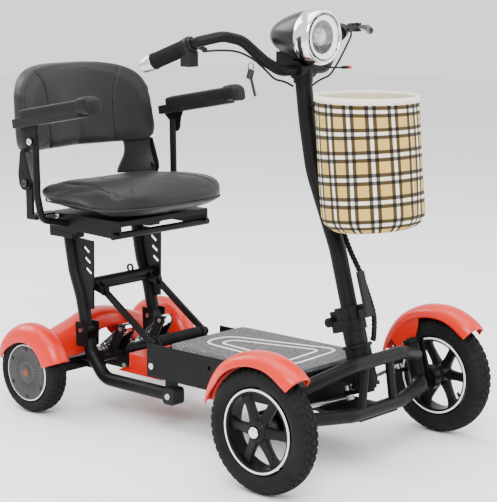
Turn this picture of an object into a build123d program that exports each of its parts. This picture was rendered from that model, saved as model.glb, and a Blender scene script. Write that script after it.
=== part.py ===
"""Folding four-wheel mobility scooter.

Frame: +X forward, +Y rider's left, +Z up, millimetres.  X = 0 is midway between the axles and Z = 0 is
the floor.  The rider's right is -Y.  SIDES gives the sign of Y for each side's name.
"""
from build123d import *
from math import cos, hypot, pi, radians, sin, tan
import os

# ---- driving dimensions ------------------------------------------------------------------------
WHEELBASE = 774.0
FRONT_TYRE_R, FRONT_TYRE_W, FRONT_TRACK = 127.0, 52.0, 576.0
REAR_TYRE_R, REAR_TYRE_W, REAR_TRACK = 93.0, 50.0, 408.0
FRONT_RIM_R, REAR_RIM_R = 82.0, 63.0
TILT = 16.0                      # head tube and kingpins lean back by this angle
HEAD_TOP = (385.0, 0.0, 245.0)   # where the steering axis leaves the head tube
KINGPIN_Y = 212.0
ARM_REACH = 48.0                 # pitman arm and both steering arms
PITMAN_Z = 152.0
FOLD_PIN = (-44.0, 10.0)         # tiller hinge pin in the head frame: forward, along the axis
DECK_X0, DECK_X1, DECK_W = -107.0, 328.0, 236.0
DECK_Z0, DECK_Z1, DECK_WALL = 114.0, 188.0, 3.0
BOARD_T = 8.0
FRAME_Y = 106.0                  # rear frame tubes, seat posts and braces stand this far out
TUBE_R = 15.0
ARM_PIVOT = (-262.0, 97.0)       # rear swing arm pin: x, z
SHOCK_Y = 62.0
SHOCK_TOP, SHOCK_FOOT = (-232.0, 193.0), (-330.0, 116.0)
POST_HINGE = (-313.0, 186.0)     # seat post folds forward about this pin: x, z
BRACE_TOP = (-276.0, 276.0)
BRACE_FOOT = (-127.0, 178.0)
SEAT_Z0, SEAT_Z1 = 456.0, 536.0
SEAT_X0, SEAT_X1, SEAT_HALF = -428.0, -106.0, 196.0
BACK_PIN = (-402.0, 523.0)
ARMREST_PIN = (-352.0, 622.0)
ARMREST_Y, ARMREST_HALF = 226.0, 22.0
ARMREST_TILT = 10.0              # the arm pads rise towards the front
UPRIGHT_Y = 214.0
BAR_R, GRIP_R = 11.0, 16.5
LAMP_X, LAMP_Z, LAMP_R = 291.0, 862.0, 55.0
BASKET_X, BASKET_R, BASKET_Z0, BASKET_Z1 = 402.0, 104.0, 483.0, 750.0
BASKET_LEAN = 5.0
BRACE_Y = 84.0
RUNNING = 0.05                   # radial clearance of a running fit

SIDES = {"right": -1, "left": 1}
FRONT_X, REAR_X = WHEELBASE / 2, -WHEELBASE / 2
TILT_RAD = radians(TILT)
AXIS = Vector(-sin(TILT_RAD), 0, cos(TILT_RAD))
AHEAD = Vector(cos(TILT_RAD), 0, sin(TILT_RAD))


# ---- helpers -----------------------------------------------------------------------------------
def tilted(x, y, z):
    """A plane at a point whose normal runs along the steering axis and whose X looks ahead."""
    return Plane(origin=(x, y, z), x_dir=AHEAD, z_dir=AXIS)


def head_x(z):
    """X of the steering axis at height z."""
    return HEAD_TOP[0] - (z - HEAD_TOP[2]) * tan(TILT_RAD)


def kingpin_x(z):
    """X of the kingpin axes at height z: they pass through the front axle line."""
    return FRONT_X - (z - FRONT_TYRE_R) * tan(TILT_RAD)


def rod(start, end, r, bore=0.0):
    """A straight round bar, or a tube when a bore radius is given."""
    a, b = Vector(*start), Vector(*end)
    plane = Plane(origin=a, z_dir=b - a)
    section = Circle(r) - Circle(bore) if bore else Circle(r)
    return extrude(plane * section, (b - a).length)


def across(x, z, y0, y1, r, bore=0.0):
    """A round bar along Y."""
    return rod((x, y0, z), (x, y1, z), r, bore)


def bent_tube(points, r, bends):
    """A round bar along straight runs joined by arcs of the given radii."""
    path = FilletPolyline(*points, radius=bends)
    start = Plane(origin=path @ 0, z_dir=path % 0)
    return sweep(start * Circle(r), path=path)


def fit_bends(points, most=400.0):
    """The largest arc each corner of a route has room for: 0.45 of the shorter run."""
    out = []
    for i in range(1, len(points) - 1):
        a, b, c = (Vector(*p) for p in points[i - 1:i + 2])
        turn = radians((b - a).get_angle(c - b))
        out.append(min(most, 0.45 * min((b - a).length, (c - b).length) / tan(turn / 2)))
    return out


def slab(x0, x1, y0, y1, z0, z1):
    """A box from its two corners."""
    return Pos((x0 + x1) / 2, (y0 + y1) / 2, (z0 + z1) / 2) * Box(x1 - x0, y1 - y0, z1 - z0)


def side_plate(outline, y0, y1):
    """A flat plate standing in the XZ plane, from its outline as (x, z) points."""
    face = Plane.XZ * make_face(Polyline(*outline, close=True))
    return Pos(0, y1, 0) * extrude(face, y1 - y0)


def spun(profile, x, y, z, angle=360.0):
    """Revolve a profile of (y, radius) about the wheel axis through a point."""
    face = Plane(origin=(x, y, z), x_dir=(0, 1, 0), z_dir=(-1, 0, 0)) * profile
    return revolve(face, Axis((x, y, z), (0, 1, 0)), angle)


def both(make):
    """The right and left copies of a piece, from a function of the side's sign."""
    return Compound(children=[make(sign) for sign in SIDES.values()])


# ---- deck and chassis --------------------------------------------------------------------------
def deck_tray():
    half = DECK_W / 2
    tray = slab(DECK_X0, DECK_X1, -half, half, DECK_Z0, DECK_Z1)
    tray -= slab(DECK_X0 + 62, DECK_X1 - DECK_WALL, -half + DECK_WALL, half - DECK_WALL,
                 DECK_Z0 + DECK_WALL, DECK_Z1 + 1)
    tray -= slab(DECK_X0 - 1, DECK_X0 + 59, -half + DECK_WALL, half - DECK_WALL,
                 DECK_Z0 + DECK_WALL, DECK_Z1 + 1)
    for sign in SIDES.values():
        for x, z in ((81, 163), (104, 159)):
            tray -= across(x, z, sign * half - 5, sign * half + 5, 4.5)
    tray += slab(DECK_X1, 399, -28, 28, 168, 186)
    tray -= rod(*head_span(150, 260), 27)
    return tray


def head_span(z0, z1):
    """Two points of the steering axis, from their heights."""
    return (head_x(z0), 0, z0), (head_x(z1), 0, z1)


def deck_board():
    half = DECK_W / 2 - 1
    return fillet(slab(-37, DECK_X1 - 6, -half, half, DECK_Z1, DECK_Z1 + BOARD_T).edges()
                  .filter_by(Axis.Z), 12)


def battery_pack():
    return fillet(slab(-20, 300, -92, 92, DECK_Z0 + DECK_WALL, DECK_Z1 - 8).edges(), 6)


def controller_cover():
    box = fillet(slab(-229, DECK_X0, -60, 60, 98, 134).edges().filter_by(Axis.Z), 8)
    flange = slab(-244, DECK_X0, -74, 74, 95, 98)
    return box + flange - slab(-222, DECK_X0 - 4, -54, 54, 94, 129)


def head_tube():
    tube = rod(*head_span(160, 238), 27, 22)
    collar = rod(*head_span(238, 244), 31, 22)
    bottom_cup = rod(*head_span(160, 166), 30, 22)
    return tube + collar + bottom_cup


def front_subframe():
    upper = [(kingpin_x(184), -KINGPIN_Y, 184), (402, -180, 192), (437, -84, 221), (437, 84, 221),
             (402, 180, 192), (kingpin_x(184), KINGPIN_Y, 184)]
    lower = [(kingpin_x(132), -KINGPIN_Y, 132), (414, -186, 129), (440, -80, 120), (440, 80, 120),
             (414, 186, 129), (kingpin_x(132), KINGPIN_Y, 132)]
    frame = bent_tube(upper, 14, [30, 60, 60, 30]) + bent_tube(lower, 14, [30, 60, 60, 30])
    for sign in SIDES.values():
        frame += rod((438, sign * 38, 218), (440, sign * 52, 122), 9)
        sleeve = (kingpin_x(112), sign * KINGPIN_Y, 112), (kingpin_x(204), sign * KINGPIN_Y, 204)
        frame += rod(*sleeve, 17)
        frame -= rod(*sleeve, 8 + RUNNING)
    frame += slab(404, 430, -22, 22, 208, 220)
    frame += side_plate([(300, 108), (300, 114), (352, 112), (440, 112), (446, 104), (352, 104)], -62, 62)
    frame -= rod(*head_span(150, 260), 27)
    return frame


def rear_frame():
    frame = Part()
    for sign in SIDES.values():
        y = sign * FRAME_Y
        frame += bent_tube([(-34, y, 80), (-256, y, 80), (-300, y, 132), (-308, y, 163)], TUBE_R,
                           [46, 40])
        frame += side_plate([(-60, 80), (-26, 80), (-26, 114), (-60, 114)], y - 3, y + 3)
        for ear in (-1, 1):
            inner = y + ear * 17.5
            frame += side_plate([(-330, 150), (-296, 150), (-294, 204), (-332, 204)],
                                inner - 2, inner + 2)
        frame += slab(-328, -298, y - 19.5, y + 19.5, 148, 156)
    frame += across(-268, 130, -FRAME_Y, FRAME_Y, 13)
    for sign in SIDES.values():
        for offset in (-15, 15):
            y = sign * SHOCK_Y + offset
            frame += side_plate([(-280, 130), (-258, 124), (-222, 186), (-226, 203), (-242, 201)],
                                y - 2, y + 2)
            frame -= across(*SHOCK_TOP, y - 3, y + 3, 5)
        y = sign * 36
        frame += side_plate([(-282, 128), (-254, 128), (-250, 92), (-262, 82), (-274, 92)],
                            y - 3, y + 3)
        frame -= across(*ARM_PIVOT, y - 4, y + 4, 6)
    for sign in SIDES.values():
        frame -= across(*POST_HINGE, sign * FRAME_Y - 24, sign * FRAME_Y + 24, 5)
    return frame


def deck_handle():
    handle = across(*BRACE_FOOT, -76, 76, 8) + across(*BRACE_FOOT, -64, 64, 13)
    for sign in SIDES.values():
        y = sign * 72
        handle += side_plate([(-140, 166), (-107.2, 142), (-107.2, 176), (-118, 190), (-136, 190)],
                             y - 3, y + 3)
    return handle


def bolt(x, z, y, outward, shank=8.0, head_r=7.0):
    """A button-head bolt that points inward along Y, its head seated at y."""
    return across(x, z, y, y + outward * 4, head_r) + across(x, z, y - outward * shank, y, 4)


def frame_bolts():
    half = DECK_W / 2
    bolts = []
    for sign in SIDES.values():
        bolts.append(bolt(-91, 139, sign * half, sign, 2.5))
        bolts.append(across(*POST_HINGE, sign * (FRAME_Y - 23), sign * (FRAME_Y + 23), 5))
        bolts.append(across(*SHOCK_TOP, sign * (SHOCK_Y - 19), sign * (SHOCK_Y + 19), 5))
    bolts.append(across(*ARM_PIVOT, -42, 42, 6))
    return Compound(children=bolts)


# ---- rear suspension ---------------------------------------------------------------------------
def swing_arm():
    px, pz = ARM_PIVOT
    arm = across(px, pz, -32.5, 32.5, 11)
    arm += slab(REAR_X, px, -30, -16, pz - 11, pz + 3) + slab(REAR_X, px, 16, 30, pz - 11, pz + 3)
    arm += slab(REAR_X - 15, REAR_X + 15, -165, 165, REAR_TYRE_R - 15, REAR_TYRE_R + 15)
    fx, fz = SHOCK_FOOT
    for sign in SIDES.values():
        y = sign * SHOCK_Y
        arm += slab(REAR_X, fx + 12, y - 17, y - 13, pz - 11, pz + 4)
        arm += slab(REAR_X, fx + 12, y + 13, y + 17, pz - 11, pz + 4)
        for offset in (-15, 15):
            arm += side_plate([(fx - 14, pz), (fx + 12, pz), (fx + 8, fz + 8), (fx - 8, fz + 8)],
                              y + offset - 2, y + offset + 2)
        arm += across(fx, fz, y - 17, y + 17, 5)
        arm += slab(REAR_X - 10, REAR_X + 10, sign * 128 - 8, sign * 128 + 8, REAR_TYRE_R, 175.5)
        arm -= across(REAR_X, REAR_TYRE_R, sign * 149, sign * 166, 7)
    arm -= across(px, pz, -40, 40, 6 + RUNNING)
    return arm


def rear_axle_shafts():
    centre = REAR_TRACK / 2
    return both(lambda s: across(REAR_X, REAR_TYRE_R, s * 149, s * (centre + 16), 7))


def shock_line(t, y=0.0):
    """A point on the shock's axis, t mm from the top eye towards the foot."""
    dx, dz = SHOCK_FOOT[0] - SHOCK_TOP[0], SHOCK_FOOT[1] - SHOCK_TOP[1]
    length = hypot(dx, dz)
    return SHOCK_TOP[0] + dx * t / length, y, SHOCK_TOP[1] + dz * t / length


SHOCK_LENGTH = hypot(SHOCK_FOOT[0] - SHOCK_TOP[0], SHOCK_FOOT[1] - SHOCK_TOP[1])


def shock_body(sign):
    y = sign * SHOCK_Y
    body = across(*SHOCK_TOP, y - 10, y + 10, 11)
    body += rod(shock_line(6, y), shock_line(24, y), 12.5)
    body += rod(shock_line(24, y), shock_line(74, y), 9)
    body -= rod(shock_line(40, y), shock_line(75, y), 5 + RUNNING)
    return body - across(*SHOCK_TOP, y - 12, y + 12, 5 + RUNNING)


def shock_rod(sign):
    y = sign * SHOCK_Y
    piece = rod(shock_line(52, y), shock_line(SHOCK_LENGTH - 8, y), 5)
    piece += rod(shock_line(SHOCK_LENGTH - 26, y), shock_line(SHOCK_LENGTH - 18, y), 12.5)
    piece += across(*SHOCK_FOOT, y - 10, y + 10, 11)
    return piece - across(*SHOCK_FOOT, y - 12, y + 12, 5.6)


def shock_spring(sign):
    y = sign * SHOCK_Y
    return rod(shock_line(24.3, y), shock_line(SHOCK_LENGTH - 26.3, y), 12.4, 9.6)


# ---- wheels ------------------------------------------------------------------------------------
def tyre(x, y, z, outer, inner, width):
    half = width / 2
    section = Pos(0, (outer + inner) / 2) * Rectangle(width, outer - inner)
    top = section.vertices().group_by(Axis.Y)[-1]
    section = fillet(top, half * 0.72)
    section = fillet(section.vertices().group_by(Axis.Y)[0], 5)
    return spun(section, x, y, z)


def front_rim(sign):
    y = sign * FRONT_TRACK / 2
    band = spun(Pos(0, FRONT_RIM_R - 5) * Rectangle(42, 10), FRONT_X, y, FRONT_TYRE_R)
    hub = across(FRONT_X, FRONT_TYRE_R, y - 24, y + 24, 21)
    rim = band + hub
    for i in range(6):
        spoke = Pos(0, 0, 47) * Box(15, 12, 58)
        rim += Pos(FRONT_X, y + sign * 6, FRONT_TYRE_R) * Rot(0, 60 * i + 30, 0) * spoke
    return rim - across(FRONT_X, FRONT_TYRE_R, y - 30, y + 30, 8 + RUNNING)


def hub_motor(sign):
    y = sign * REAR_TRACK / 2
    drum = across(REAR_X, REAR_TYRE_R, y - 24, y + 24, REAR_RIM_R)
    drum = fillet(drum.edges().filter_by(GeomType.CIRCLE), 3)
    drum -= across(REAR_X, REAR_TYRE_R, y - sign * 30, y + sign * 17, 7 + RUNNING)
    for i in range(6):
        a = radians(60 * i + 30)
        x, z = REAR_X + 54 * cos(a), REAR_TYRE_R + 54 * sin(a)
        drum += across(x, z, y + sign * 23, y + sign * 26, 3.5)
    return drum


# ---- front corners -----------------------------------------------------------------------------
def knuckle(sign):
    def at(z, y=KINGPIN_Y):
        return kingpin_x(z), sign * y, z
    piece = rod(at(100), at(216), 8)
    for z in (103, 205):
        piece += rod(at(z), at(z + 8), 17)
        foot = tilted(*at(z)) * Pos(0, sign * 15, 4.2) * Box(28, 24, 8)
        piece += foot
    plate = tilted(*at(127, KINGPIN_Y + 24)) * Pos(0, 0, 32) * Box(30, 8, 118)
    piece += plate
    hub_y = sign * FRONT_TRACK / 2
    piece += across(FRONT_X, FRONT_TYRE_R, sign * 238, hub_y + sign * 30, 8)
    piece += across(FRONT_X, FRONT_TYRE_R, sign * 238, sign * 258, 27)
    arm_z = PITMAN_Z
    k = tilted(kingpin_x(arm_z), sign * KINGPIN_Y, arm_z)
    arm = k * Pos(-24, sign * 27, 0) * Box(50, 8, 8)
    arm += k * Pos(-ARM_REACH, sign * 15, 0) * Box(16, 32, 8)
    arm += k * Pos(-ARM_REACH, 0, 0) * Cylinder(9, 8)
    arm += k * Pos(-ARM_REACH, 0, sign * 10) * Cylinder(4, 13)
    return piece + arm


def axle_nut(sign):
    y = sign * (FRONT_TRACK / 2 + 24.5)
    nut = across(FRONT_X, FRONT_TYRE_R, y, y + sign * 9, 12)
    nut = fillet(nut.edges().filter_by(GeomType.CIRCLE).group_by(Axis.Y)[0 if sign < 0 else -1], 6)
    return nut - across(FRONT_X, FRONT_TYRE_R, y - sign, y + sign * 5.5, 8)


def fender_arch(half, crown, skirt):
    """Half-round arch section in (y, radius)."""
    return make_face(Polyline((-half, skirt), (-half, crown - half * 0.55), (-half * 0.62, crown - 6),
                              (0, crown), (half * 0.62, crown - 6), (half, crown - half * 0.55),
                              (half, skirt), close=True))


def fender(x, y, z, half, crown, skirt, start, sweep_angle, thick=3.0):
    """Arched mudguard over a wheel, from a start angle behind the wheel round to the front."""
    outer = fender_arch(half, crown, skirt)
    inner = fender_arch(half - thick, crown - thick, skirt - 10)
    ring = spun(outer, x, y, z) - spun(inner, x, y, z)
    reach = crown * 3
    angles = [radians(start + sweep_angle * i / 6) for i in range(7)]
    sector = [(x, z)] + [(x + reach * cos(a), z + reach * sin(a)) for a in angles]
    keep = side_plate(sector, y - half - 5, y + half + 5)
    return ring & keep


def front_fender(sign):
    y = sign * FRONT_TRACK / 2
    guard = fender(FRONT_X, y, FRONT_TYRE_R, 33, 155, 128, 50, 116)
    inner = y - sign * 31.5
    lug = side_plate([(306, 168), (344, 206), (352, 254), (316, 240), (278, 196)],
                     inner - 1.5, inner + 1.5)
    stay = rod((334, inner, 203), (kingpin_x(196), sign * (KINGPIN_Y + 24), 196), 5)
    return guard + lug + (stay - knuckle(sign))


def rear_fender(sign):
    y = sign * REAR_TRACK / 2
    return fender(REAR_X, y, REAR_TYRE_R, 31, 111, 76, 20, 142)


def rear_shroud():
    def arch(grow):
        return [(-173, 168 + grow), (-120, 185 + grow), (-60, 211 + grow), (0, 219 + grow),
                (60, 211 + grow), (120, 185 + grow), (173, 168 + grow)]
    outline = arch(0) + [(y, z - 3) for y, z in reversed(arch(0))]
    band = Plane(origin=(-436, 0, 0), x_dir=(0, 1, 0), z_dir=(1, 0, 0)) * make_face(
        Polyline(*outline, close=True))
    shell = extrude(band, 84)
    apron = arch(-1) + [(150, 132), (-150, 132)]
    back = Plane(origin=(-436, 0, 0), x_dir=(0, 1, 0), z_dir=(1, 0, 0)) * make_face(
        Polyline(*apron, close=True))
    return shell + extrude(back, 3)


# ---- steering ----------------------------------------------------------------------------------
def steerer():
    hinge_base = tilted(head_x(286), 0, 286)
    post = rod(*head_span(246, 284), 24)
    stem = rod(*head_span(154, 247), 22 - RUNNING)
    block = hinge_base * Pos(-10, 0, -13.75) * extrude(RectangleRounded(76, 46, 20), 23.5)
    ears = Part()
    for y in (-18, 18):
        ears += hinge_base * Pos(*hinge_offset(y)) * Rot(90, 0, 0) * Cylinder(10, 11)
    pitman = tilted(head_x(PITMAN_Z), 0, PITMAN_Z)
    plate = pitman * Pos(0, 0, 0) * Cylinder(17, 8)
    plate += pitman * Pos(-ARM_REACH / 2, 0, 0) * Box(ARM_REACH, 18, 8)
    plate += pitman * Pos(-ARM_REACH, 0, 0) * Cylinder(9, 8)
    plate += pitman * Pos(-ARM_REACH, 0, 0) * Cylinder(4, 32)
    body = post + stem + block + ears + plate
    slot = hinge_base * Pos(*hinge_offset(0)) * Rot(90, 0, 0) * Cylinder(11, 24.6)
    body -= slot
    pin = hinge_base * Pos(*hinge_offset(0)) * Rot(90, 0, 0) * Cylinder(5, 50)
    return body + pin


def hinge_offset(y):
    """The tiller hinge pin's place in the head frame at z 286, at a given y."""
    return FOLD_PIN[0], y, FOLD_PIN[1]


def tie_rods():
    pitman = tilted(head_x(PITMAN_Z), 0, PITMAN_Z)
    rods = []
    for sign in SIDES.values():
        knuckle_end = tilted(kingpin_x(PITMAN_Z), sign * KINGPIN_Y, PITMAN_Z)
        inner = pitman * Pos(-ARM_REACH, 0, sign * 10)
        outer = knuckle_end * Pos(-ARM_REACH, 0, sign * 10)
        bar = rod(tuple(inner.position), tuple(outer.position), 4.5)
        bar += inner * Cylinder(9, 10) + outer * Cylinder(9, 10)
        bar -= inner * Cylinder(4 + RUNNING, 12)
        bar -= outer * Cylinder(4 + RUNNING, 12)
        rods.append(bar)
    return Compound(children=rods)


# ---- tiller ------------------------------------------------------------------------------------
TUBE_LINE = [(head_x(312), 0, 312), (332, 0, 436), (268, 0, 590), (249, 0, 690), (238, 0, 775)]


def tiller_tube():
    hinge_base = tilted(head_x(286), 0, 286)
    block = hinge_base * Pos(-2, 0, 10.5) * extrude(RectangleRounded(60, 46, 20), 25)
    knuckle_arm = hinge_base * Pos(-38, 0, 20.5) * Box(14, 23.4, 20)
    knuckle_arm += hinge_base * Pos(*hinge_offset(0)) * Rot(90, 0, 0) * Cylinder(10, 23.4)
    tube = bent_tube(TUBE_LINE, 17.5, [160, 200, 200])
    clamp = across(237, 795, -24, 24, 19)
    clamp += rod((238, 0, 768), (237, 0, 795), 20)
    lamp_leg = side_plate([(176, 800), (224, 792), (226, 812), (206, 830), (176, 830)], -14, 14)
    body = block + knuckle_arm + tube + clamp + lamp_leg
    body -= across(237, 795, -26, 26, BAR_R)
    body += hinge_base * Pos(30, 0, 23) * Box(12, 9.6, 22)
    return body - hinge_base * Pos(*hinge_offset(0)) * Rot(90, 0, 0) * Cylinder(5 + RUNNING, 60)


def latch_lever():
    base = tilted(head_x(286), 0, 286)
    lever = base * Pos(47, 0, 55) * Box(8, 18, 92)
    lever += base * Pos(41, 8.5, 16) * Box(20, 7, 18) + base * Pos(41, -8.5, 16) * Box(20, 7, 18)
    return lever - base * Pos(30, 0, 23) * Box(13, 10.2, 40)


BAR = [(32, -252, 805), (153, -222, 856), (187, -185, 867), (206, -150, 858), (223, -104, 817),
       (237, -70, 795)]
BAR_LINE = BAR + [(x, -y, z) for x, y, z in reversed(BAR)]


def handlebar():
    return bent_tube(BAR_LINE, BAR_R, [28, 45, 50, 50, 40, 40, 50, 50, 45, 28])


def along_grip(sign, t):
    """A point on the straight grip part of the bar, t mm in from its end."""
    a, b = Vector(32, sign * 252, 805), Vector(153, sign * 222, 856)
    return tuple(a + (b - a).normalized() * t)


def handlebar_grips():
    grips = both(lambda s: rod(along_grip(s, 0), along_grip(s, 108), GRIP_R, BAR_R))
    return grips


def ignition_key():
    head = Pos(205, -125, 790) * Rot(0, 18, 0) * Box(14, 4, 20)
    blade = Pos(213, -125, 764) * Rot(0, -18, 0) * Box(6, 2.2, 36)
    ring = Pos(207, -125, 806) * Rot(90, 0, 0) * (Cylinder(8, 1.4) - Cylinder(6.6, 3))
    return head + blade + ring


def throttle_housing():
    ring = rod(along_grip(-1, 109), along_grip(-1, 118), 18, BAR_R)
    drop = Pos(0, 0, -26) * Pos(*along_grip(-1, 114)) * Box(26, 24, 30)
    housing = (ring + drop) - handlebar() - rod(along_grip(-1, 118.1), along_grip(-1, 128), 17)
    return housing - rod(along_grip(-1, 60), along_grip(-1, 108.2), GRIP_R + 0.2)


def throttle_lever():
    ring = rod(along_grip(-1, 118.3), along_grip(-1, 124), 16, BAR_R + RUNNING)
    x, y, z = along_grip(-1, 121)
    paddle = rod((x + 3, y + 12, z - 3), (x - 2, y + 40, z - 12), 5)
    return ring + (paddle - rod(along_grip(-1, 100), along_grip(-1, 134), BAR_R + 2))


def headlight_shell():
    profile = make_face(Polyline((LAMP_X, 0), (LAMP_X, LAMP_R), (LAMP_X - 22, LAMP_R + 1),
                                 (LAMP_X - 60, LAMP_R - 5), (LAMP_X - 100, LAMP_R - 20),
                                 (LAMP_X - 130, LAMP_R - 36), (LAMP_X - 138, 0), close=True))
    body = Pos(0, 0, LAMP_Z) * revolve(Plane.XZ * profile, Axis((0, 0, 0), (1, 0, 0)))
    body -= rod((LAMP_X - 16, 0, LAMP_Z), (LAMP_X + 1, 0, LAMP_Z), LAMP_R - 6)
    return body - tiller_tube() - across(237, 795, -60, 60, 19.2)


def headlight_lens():
    return rod((LAMP_X - 15.8, 0, LAMP_Z), (LAMP_X - 3, 0, LAMP_Z), LAMP_R - 6.2)


def basket():
    lean = Pos(BASKET_X, 0, BASKET_Z1) * Rot(0, -BASKET_LEAN, 0) * Pos(-BASKET_X, 0, -BASKET_Z1)
    outer = Pos(BASKET_X, 0, BASKET_Z0) * extrude(Circle(BASKET_R), BASKET_Z1 - BASKET_Z0)
    outer = fillet(outer.edges().group_by(Axis.Z)[0], 34)
    inner = Pos(BASKET_X, 0, BASKET_Z0 + 5) * extrude(Circle(BASKET_R - 4), BASKET_Z1)
    inner = fillet(inner.edges().group_by(Axis.Z)[0], 30)
    return lean * (outer - inner) - tiller_tube()


def basket_hanger():
    z = BASKET_Z1 - 26
    arm = slab(262, BASKET_X - BASKET_R + 1, -7, 7, z - 3, z + 3)
    hook = slab(BASKET_X - BASKET_R - 4, BASKET_X - BASKET_R - 0.2, -34, 34, z - 12, z + 12)
    return (arm + hook) - tiller_tube() - basket()


BRAKE_PIVOT = (190, 232, 872)


def brake_perch():
    clamp = rod((200, 160, 861), (188, 184, 866.5), 16)
    arm = rod((194, 176, 868), (190, 218, 872), 9)
    for lift in (-7, 7):
        arm += Pos(*BRAKE_PIVOT) * Pos(0, 0, lift) * Cylinder(11, 4)
    arm += Pos(190, 217, 872) * Box(14, 11, 18)
    return (clamp + arm + Pos(*BRAKE_PIVOT) * Cylinder(3, 20)) - handlebar()


def brake_lever():
    x, y, z = BRAKE_PIVOT
    hub = Pos(x, y, z) * Cylinder(8, 9)
    blade = bent_tube([(x, y + 3, z), (x - 2, y + 34, z - 2), (x - 24, y + 78, z - 10)], 4.4, [50])
    return hub + blade - Pos(x, y, z) * Cylinder(3 + RUNNING, 14)


# ---- cables ------------------------------------------------------------------------------------
CABLES = {
    # name: (radius, route)
    "throttle_cable": (2.2, [(160, -216, 837), (184, -194, 840), (206, -164, 838), (222, -134, 822),
                             (228, -104, 798), (227, -76, 778), (228, -48, 773), (231, -24, 762)]),
    "brake_cable": (2.2, [(205, 190, 871), (226, 172, 860), (234, 142, 834), (238, 112, 804),
                          (240, 82, 778), (240, 52, 772), (242, 24, 762)]),
    "wiring_harness": (5.5, [(322, 24, 476), (347, 25, 427), (370, 26, 389), (390, 29, 343),
                             (405, 32, 300), (404, 31, 258)]),
    "light_lead": (1.8, [(264, 20, 807.5), (275, 26, 801), (289, 34, 799), (304, 42, 800)]),
}


def cable(name):
    """A round cable; the printed line gives its bends and how its volume compares."""
    radius, route = CABLES[name]
    bends = fit_bends(route)
    solid = bent_tube(route, radius, bends)
    length = FilletPolyline(*route, radius=bends).length
    ratio = solid.volume / (pi * radius ** 2 * length)
    print(name, "length", round(length), "bends", [round(b) for b in bends], "volume ratio", round(ratio, 3))
    return solid


def light_connector():
    end = CABLES["light_lead"][1][-1]
    return rod(end, (end[0] + 18, end[1] + 9.6, end[2] + 1.2), 3.4)


# ---- seat --------------------------------------------------------------------------------------
def seat_posts():
    posts = Part()
    for sign in SIDES.values():
        y = sign * FRAME_Y
        posts += bent_tube([(-317, y, 206), (-330, y, 262), (-352, y, 318), (-368, y, 404)],
                           TUBE_R, [120, 120])
        posts += rod((POST_HINGE[0], y, POST_HINGE[1]), (-318, y, 210), 13)
        posts += across(*POST_HINGE, y - 14.5, y + 14.5, 14)
        gusset = side_plate([(-318, 230), (-290, 236), (-287, 392), (-360, 396), (-344, 300)],
                            y - 2.5, y + 2.5)
        for i in range(3):
            gusset -= Pos(-304 - 3 * i, y, 322 + 24 * i) * Rot(0, 35, 0) * Box(22, 8, 9)
        posts += gusset
        posts -= across(*POST_HINGE, y - 16, y + 16, 5 + RUNNING)
    posts += across(-312, 288, -FRAME_Y, FRAME_Y, 15)
    posts += Pos(-312, 30, 309) * Rot(90, 0, 0) * (Cylinder(10, 4) - Cylinder(6.5, 6))
    for sign in SIDES.values():
        for offset in (-8, 8):
            y = sign * BRACE_Y + offset
            posts += side_plate([(-310, 278), (-300, 296), (-272, 284), (-270, 268)], y - 2, y + 2)
        posts += across(*BRACE_TOP, sign * BRACE_Y - 10, sign * BRACE_Y + 10, 4)
    return posts


def braces():
    tx, tz = BRACE_TOP
    fx, fz = BRACE_FOOT

    def strut(sign):
        y = sign * BRACE_Y
        length = hypot(fx - tx, fz - tz)
        nx, nz = 7.5 * (tz - fz) / length, 7.5 * (fx - tx) / length
        bar = side_plate([(tx + nx, tz + nz), (fx + nx, fz + nz), (fx - nx, fz - nz),
                          (tx - nx, tz - nz)], y - 3.5, y + 3.5)
        bar += across(tx, tz, y - 5.5, y + 5.5, 10)
        bar += across(fx, fz, y - 5.5, y + 5.5, 10)
        bar -= across(fx, fz, y - 8, y + 8, 4)
        return bar - across(tx, tz, y - 8, y + 8, 4 + RUNNING)
    return both(strut)


def seat_lever():
    lever = rod((-362, -146, 446), (-366, -176, 446), 4)
    return lever + Pos(-362, -146, 446) * Cylinder(5.5, 8.6)


def seat_base():
    base = slab(-404, -166, -132, 132, 440, 452)
    for sign in SIDES.values():
        y = sign * 136
        base += side_plate([(-398, 404), (-318, 404), (-300, 416), (-186, 412), (-166, 424),
                            (-166, 452), (-398, 452)], y - 3, y + 3)
        base += slab(-396, -320, sign * 120 - 20, sign * 120 + 16, 398, 410)
        base += slab(-412, -380, sign * 160 - 34, sign * 160 + 34, 440, 452)
        base += side_plate([(-412, 440), (-392, 440), (-391, 523), (-402, 535), (-413, 523)],
                           sign * 191 - 3, sign * 191 + 3)
        base += across(*BACK_PIN, sign * 191, sign * 205, 6)
    base += across(-178, 420, -150, 150, 8)
    return base - seat_posts() - armrest_frames()


def seat_cushion():
    half = SEAT_HALF
    body = slab(SEAT_X0, SEAT_X1, -half, half, SEAT_Z0, SEAT_Z1)
    body = fillet(body.edges().filter_by(Axis.Z), 80)
    body = fillet(body.edges().group_by(Axis.Z)[-1], 22)
    return body & slab(SEAT_X0 + 12, SEAT_X1, -half, half, SEAT_Z0, SEAT_Z1)


def armrest_frames():
    def upright(sign):
        y = sign * UPRIGHT_Y
        path = [(-352, y, 640), (-350, y, 500), (-346, sign * 206, 446), (-340, sign * 134, 430)]
        bar = bent_tube(path, 8, [60, 24])
        return bar + across(*ARMREST_PIN, y, sign * 231, 5)
    return both(upright)


def armrest(sign):
    px, pz = ARMREST_PIN
    y = sign * ARMREST_Y
    pad = slab(-409, -133, y - ARMREST_HALF, y + ARMREST_HALF, 660, 694)
    pad = fillet(pad.edges().filter_by(Axis.Z), 16)
    bracket = side_plate([(px - 12, pz - 4), (px, pz - 12), (px + 12, pz - 4), (px + 90, 662),
                          (px - 40, 662)], sign * 225.5 - 2, sign * 225.5 + 2)
    tilt = Pos(px, y, pz) * Rot(0, -ARMREST_TILT, 0) * Pos(-px, -y, -pz)
    return tilt * (pad + bracket - across(px, pz, sign * 220, sign * 232, 5 + RUNNING))


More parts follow.
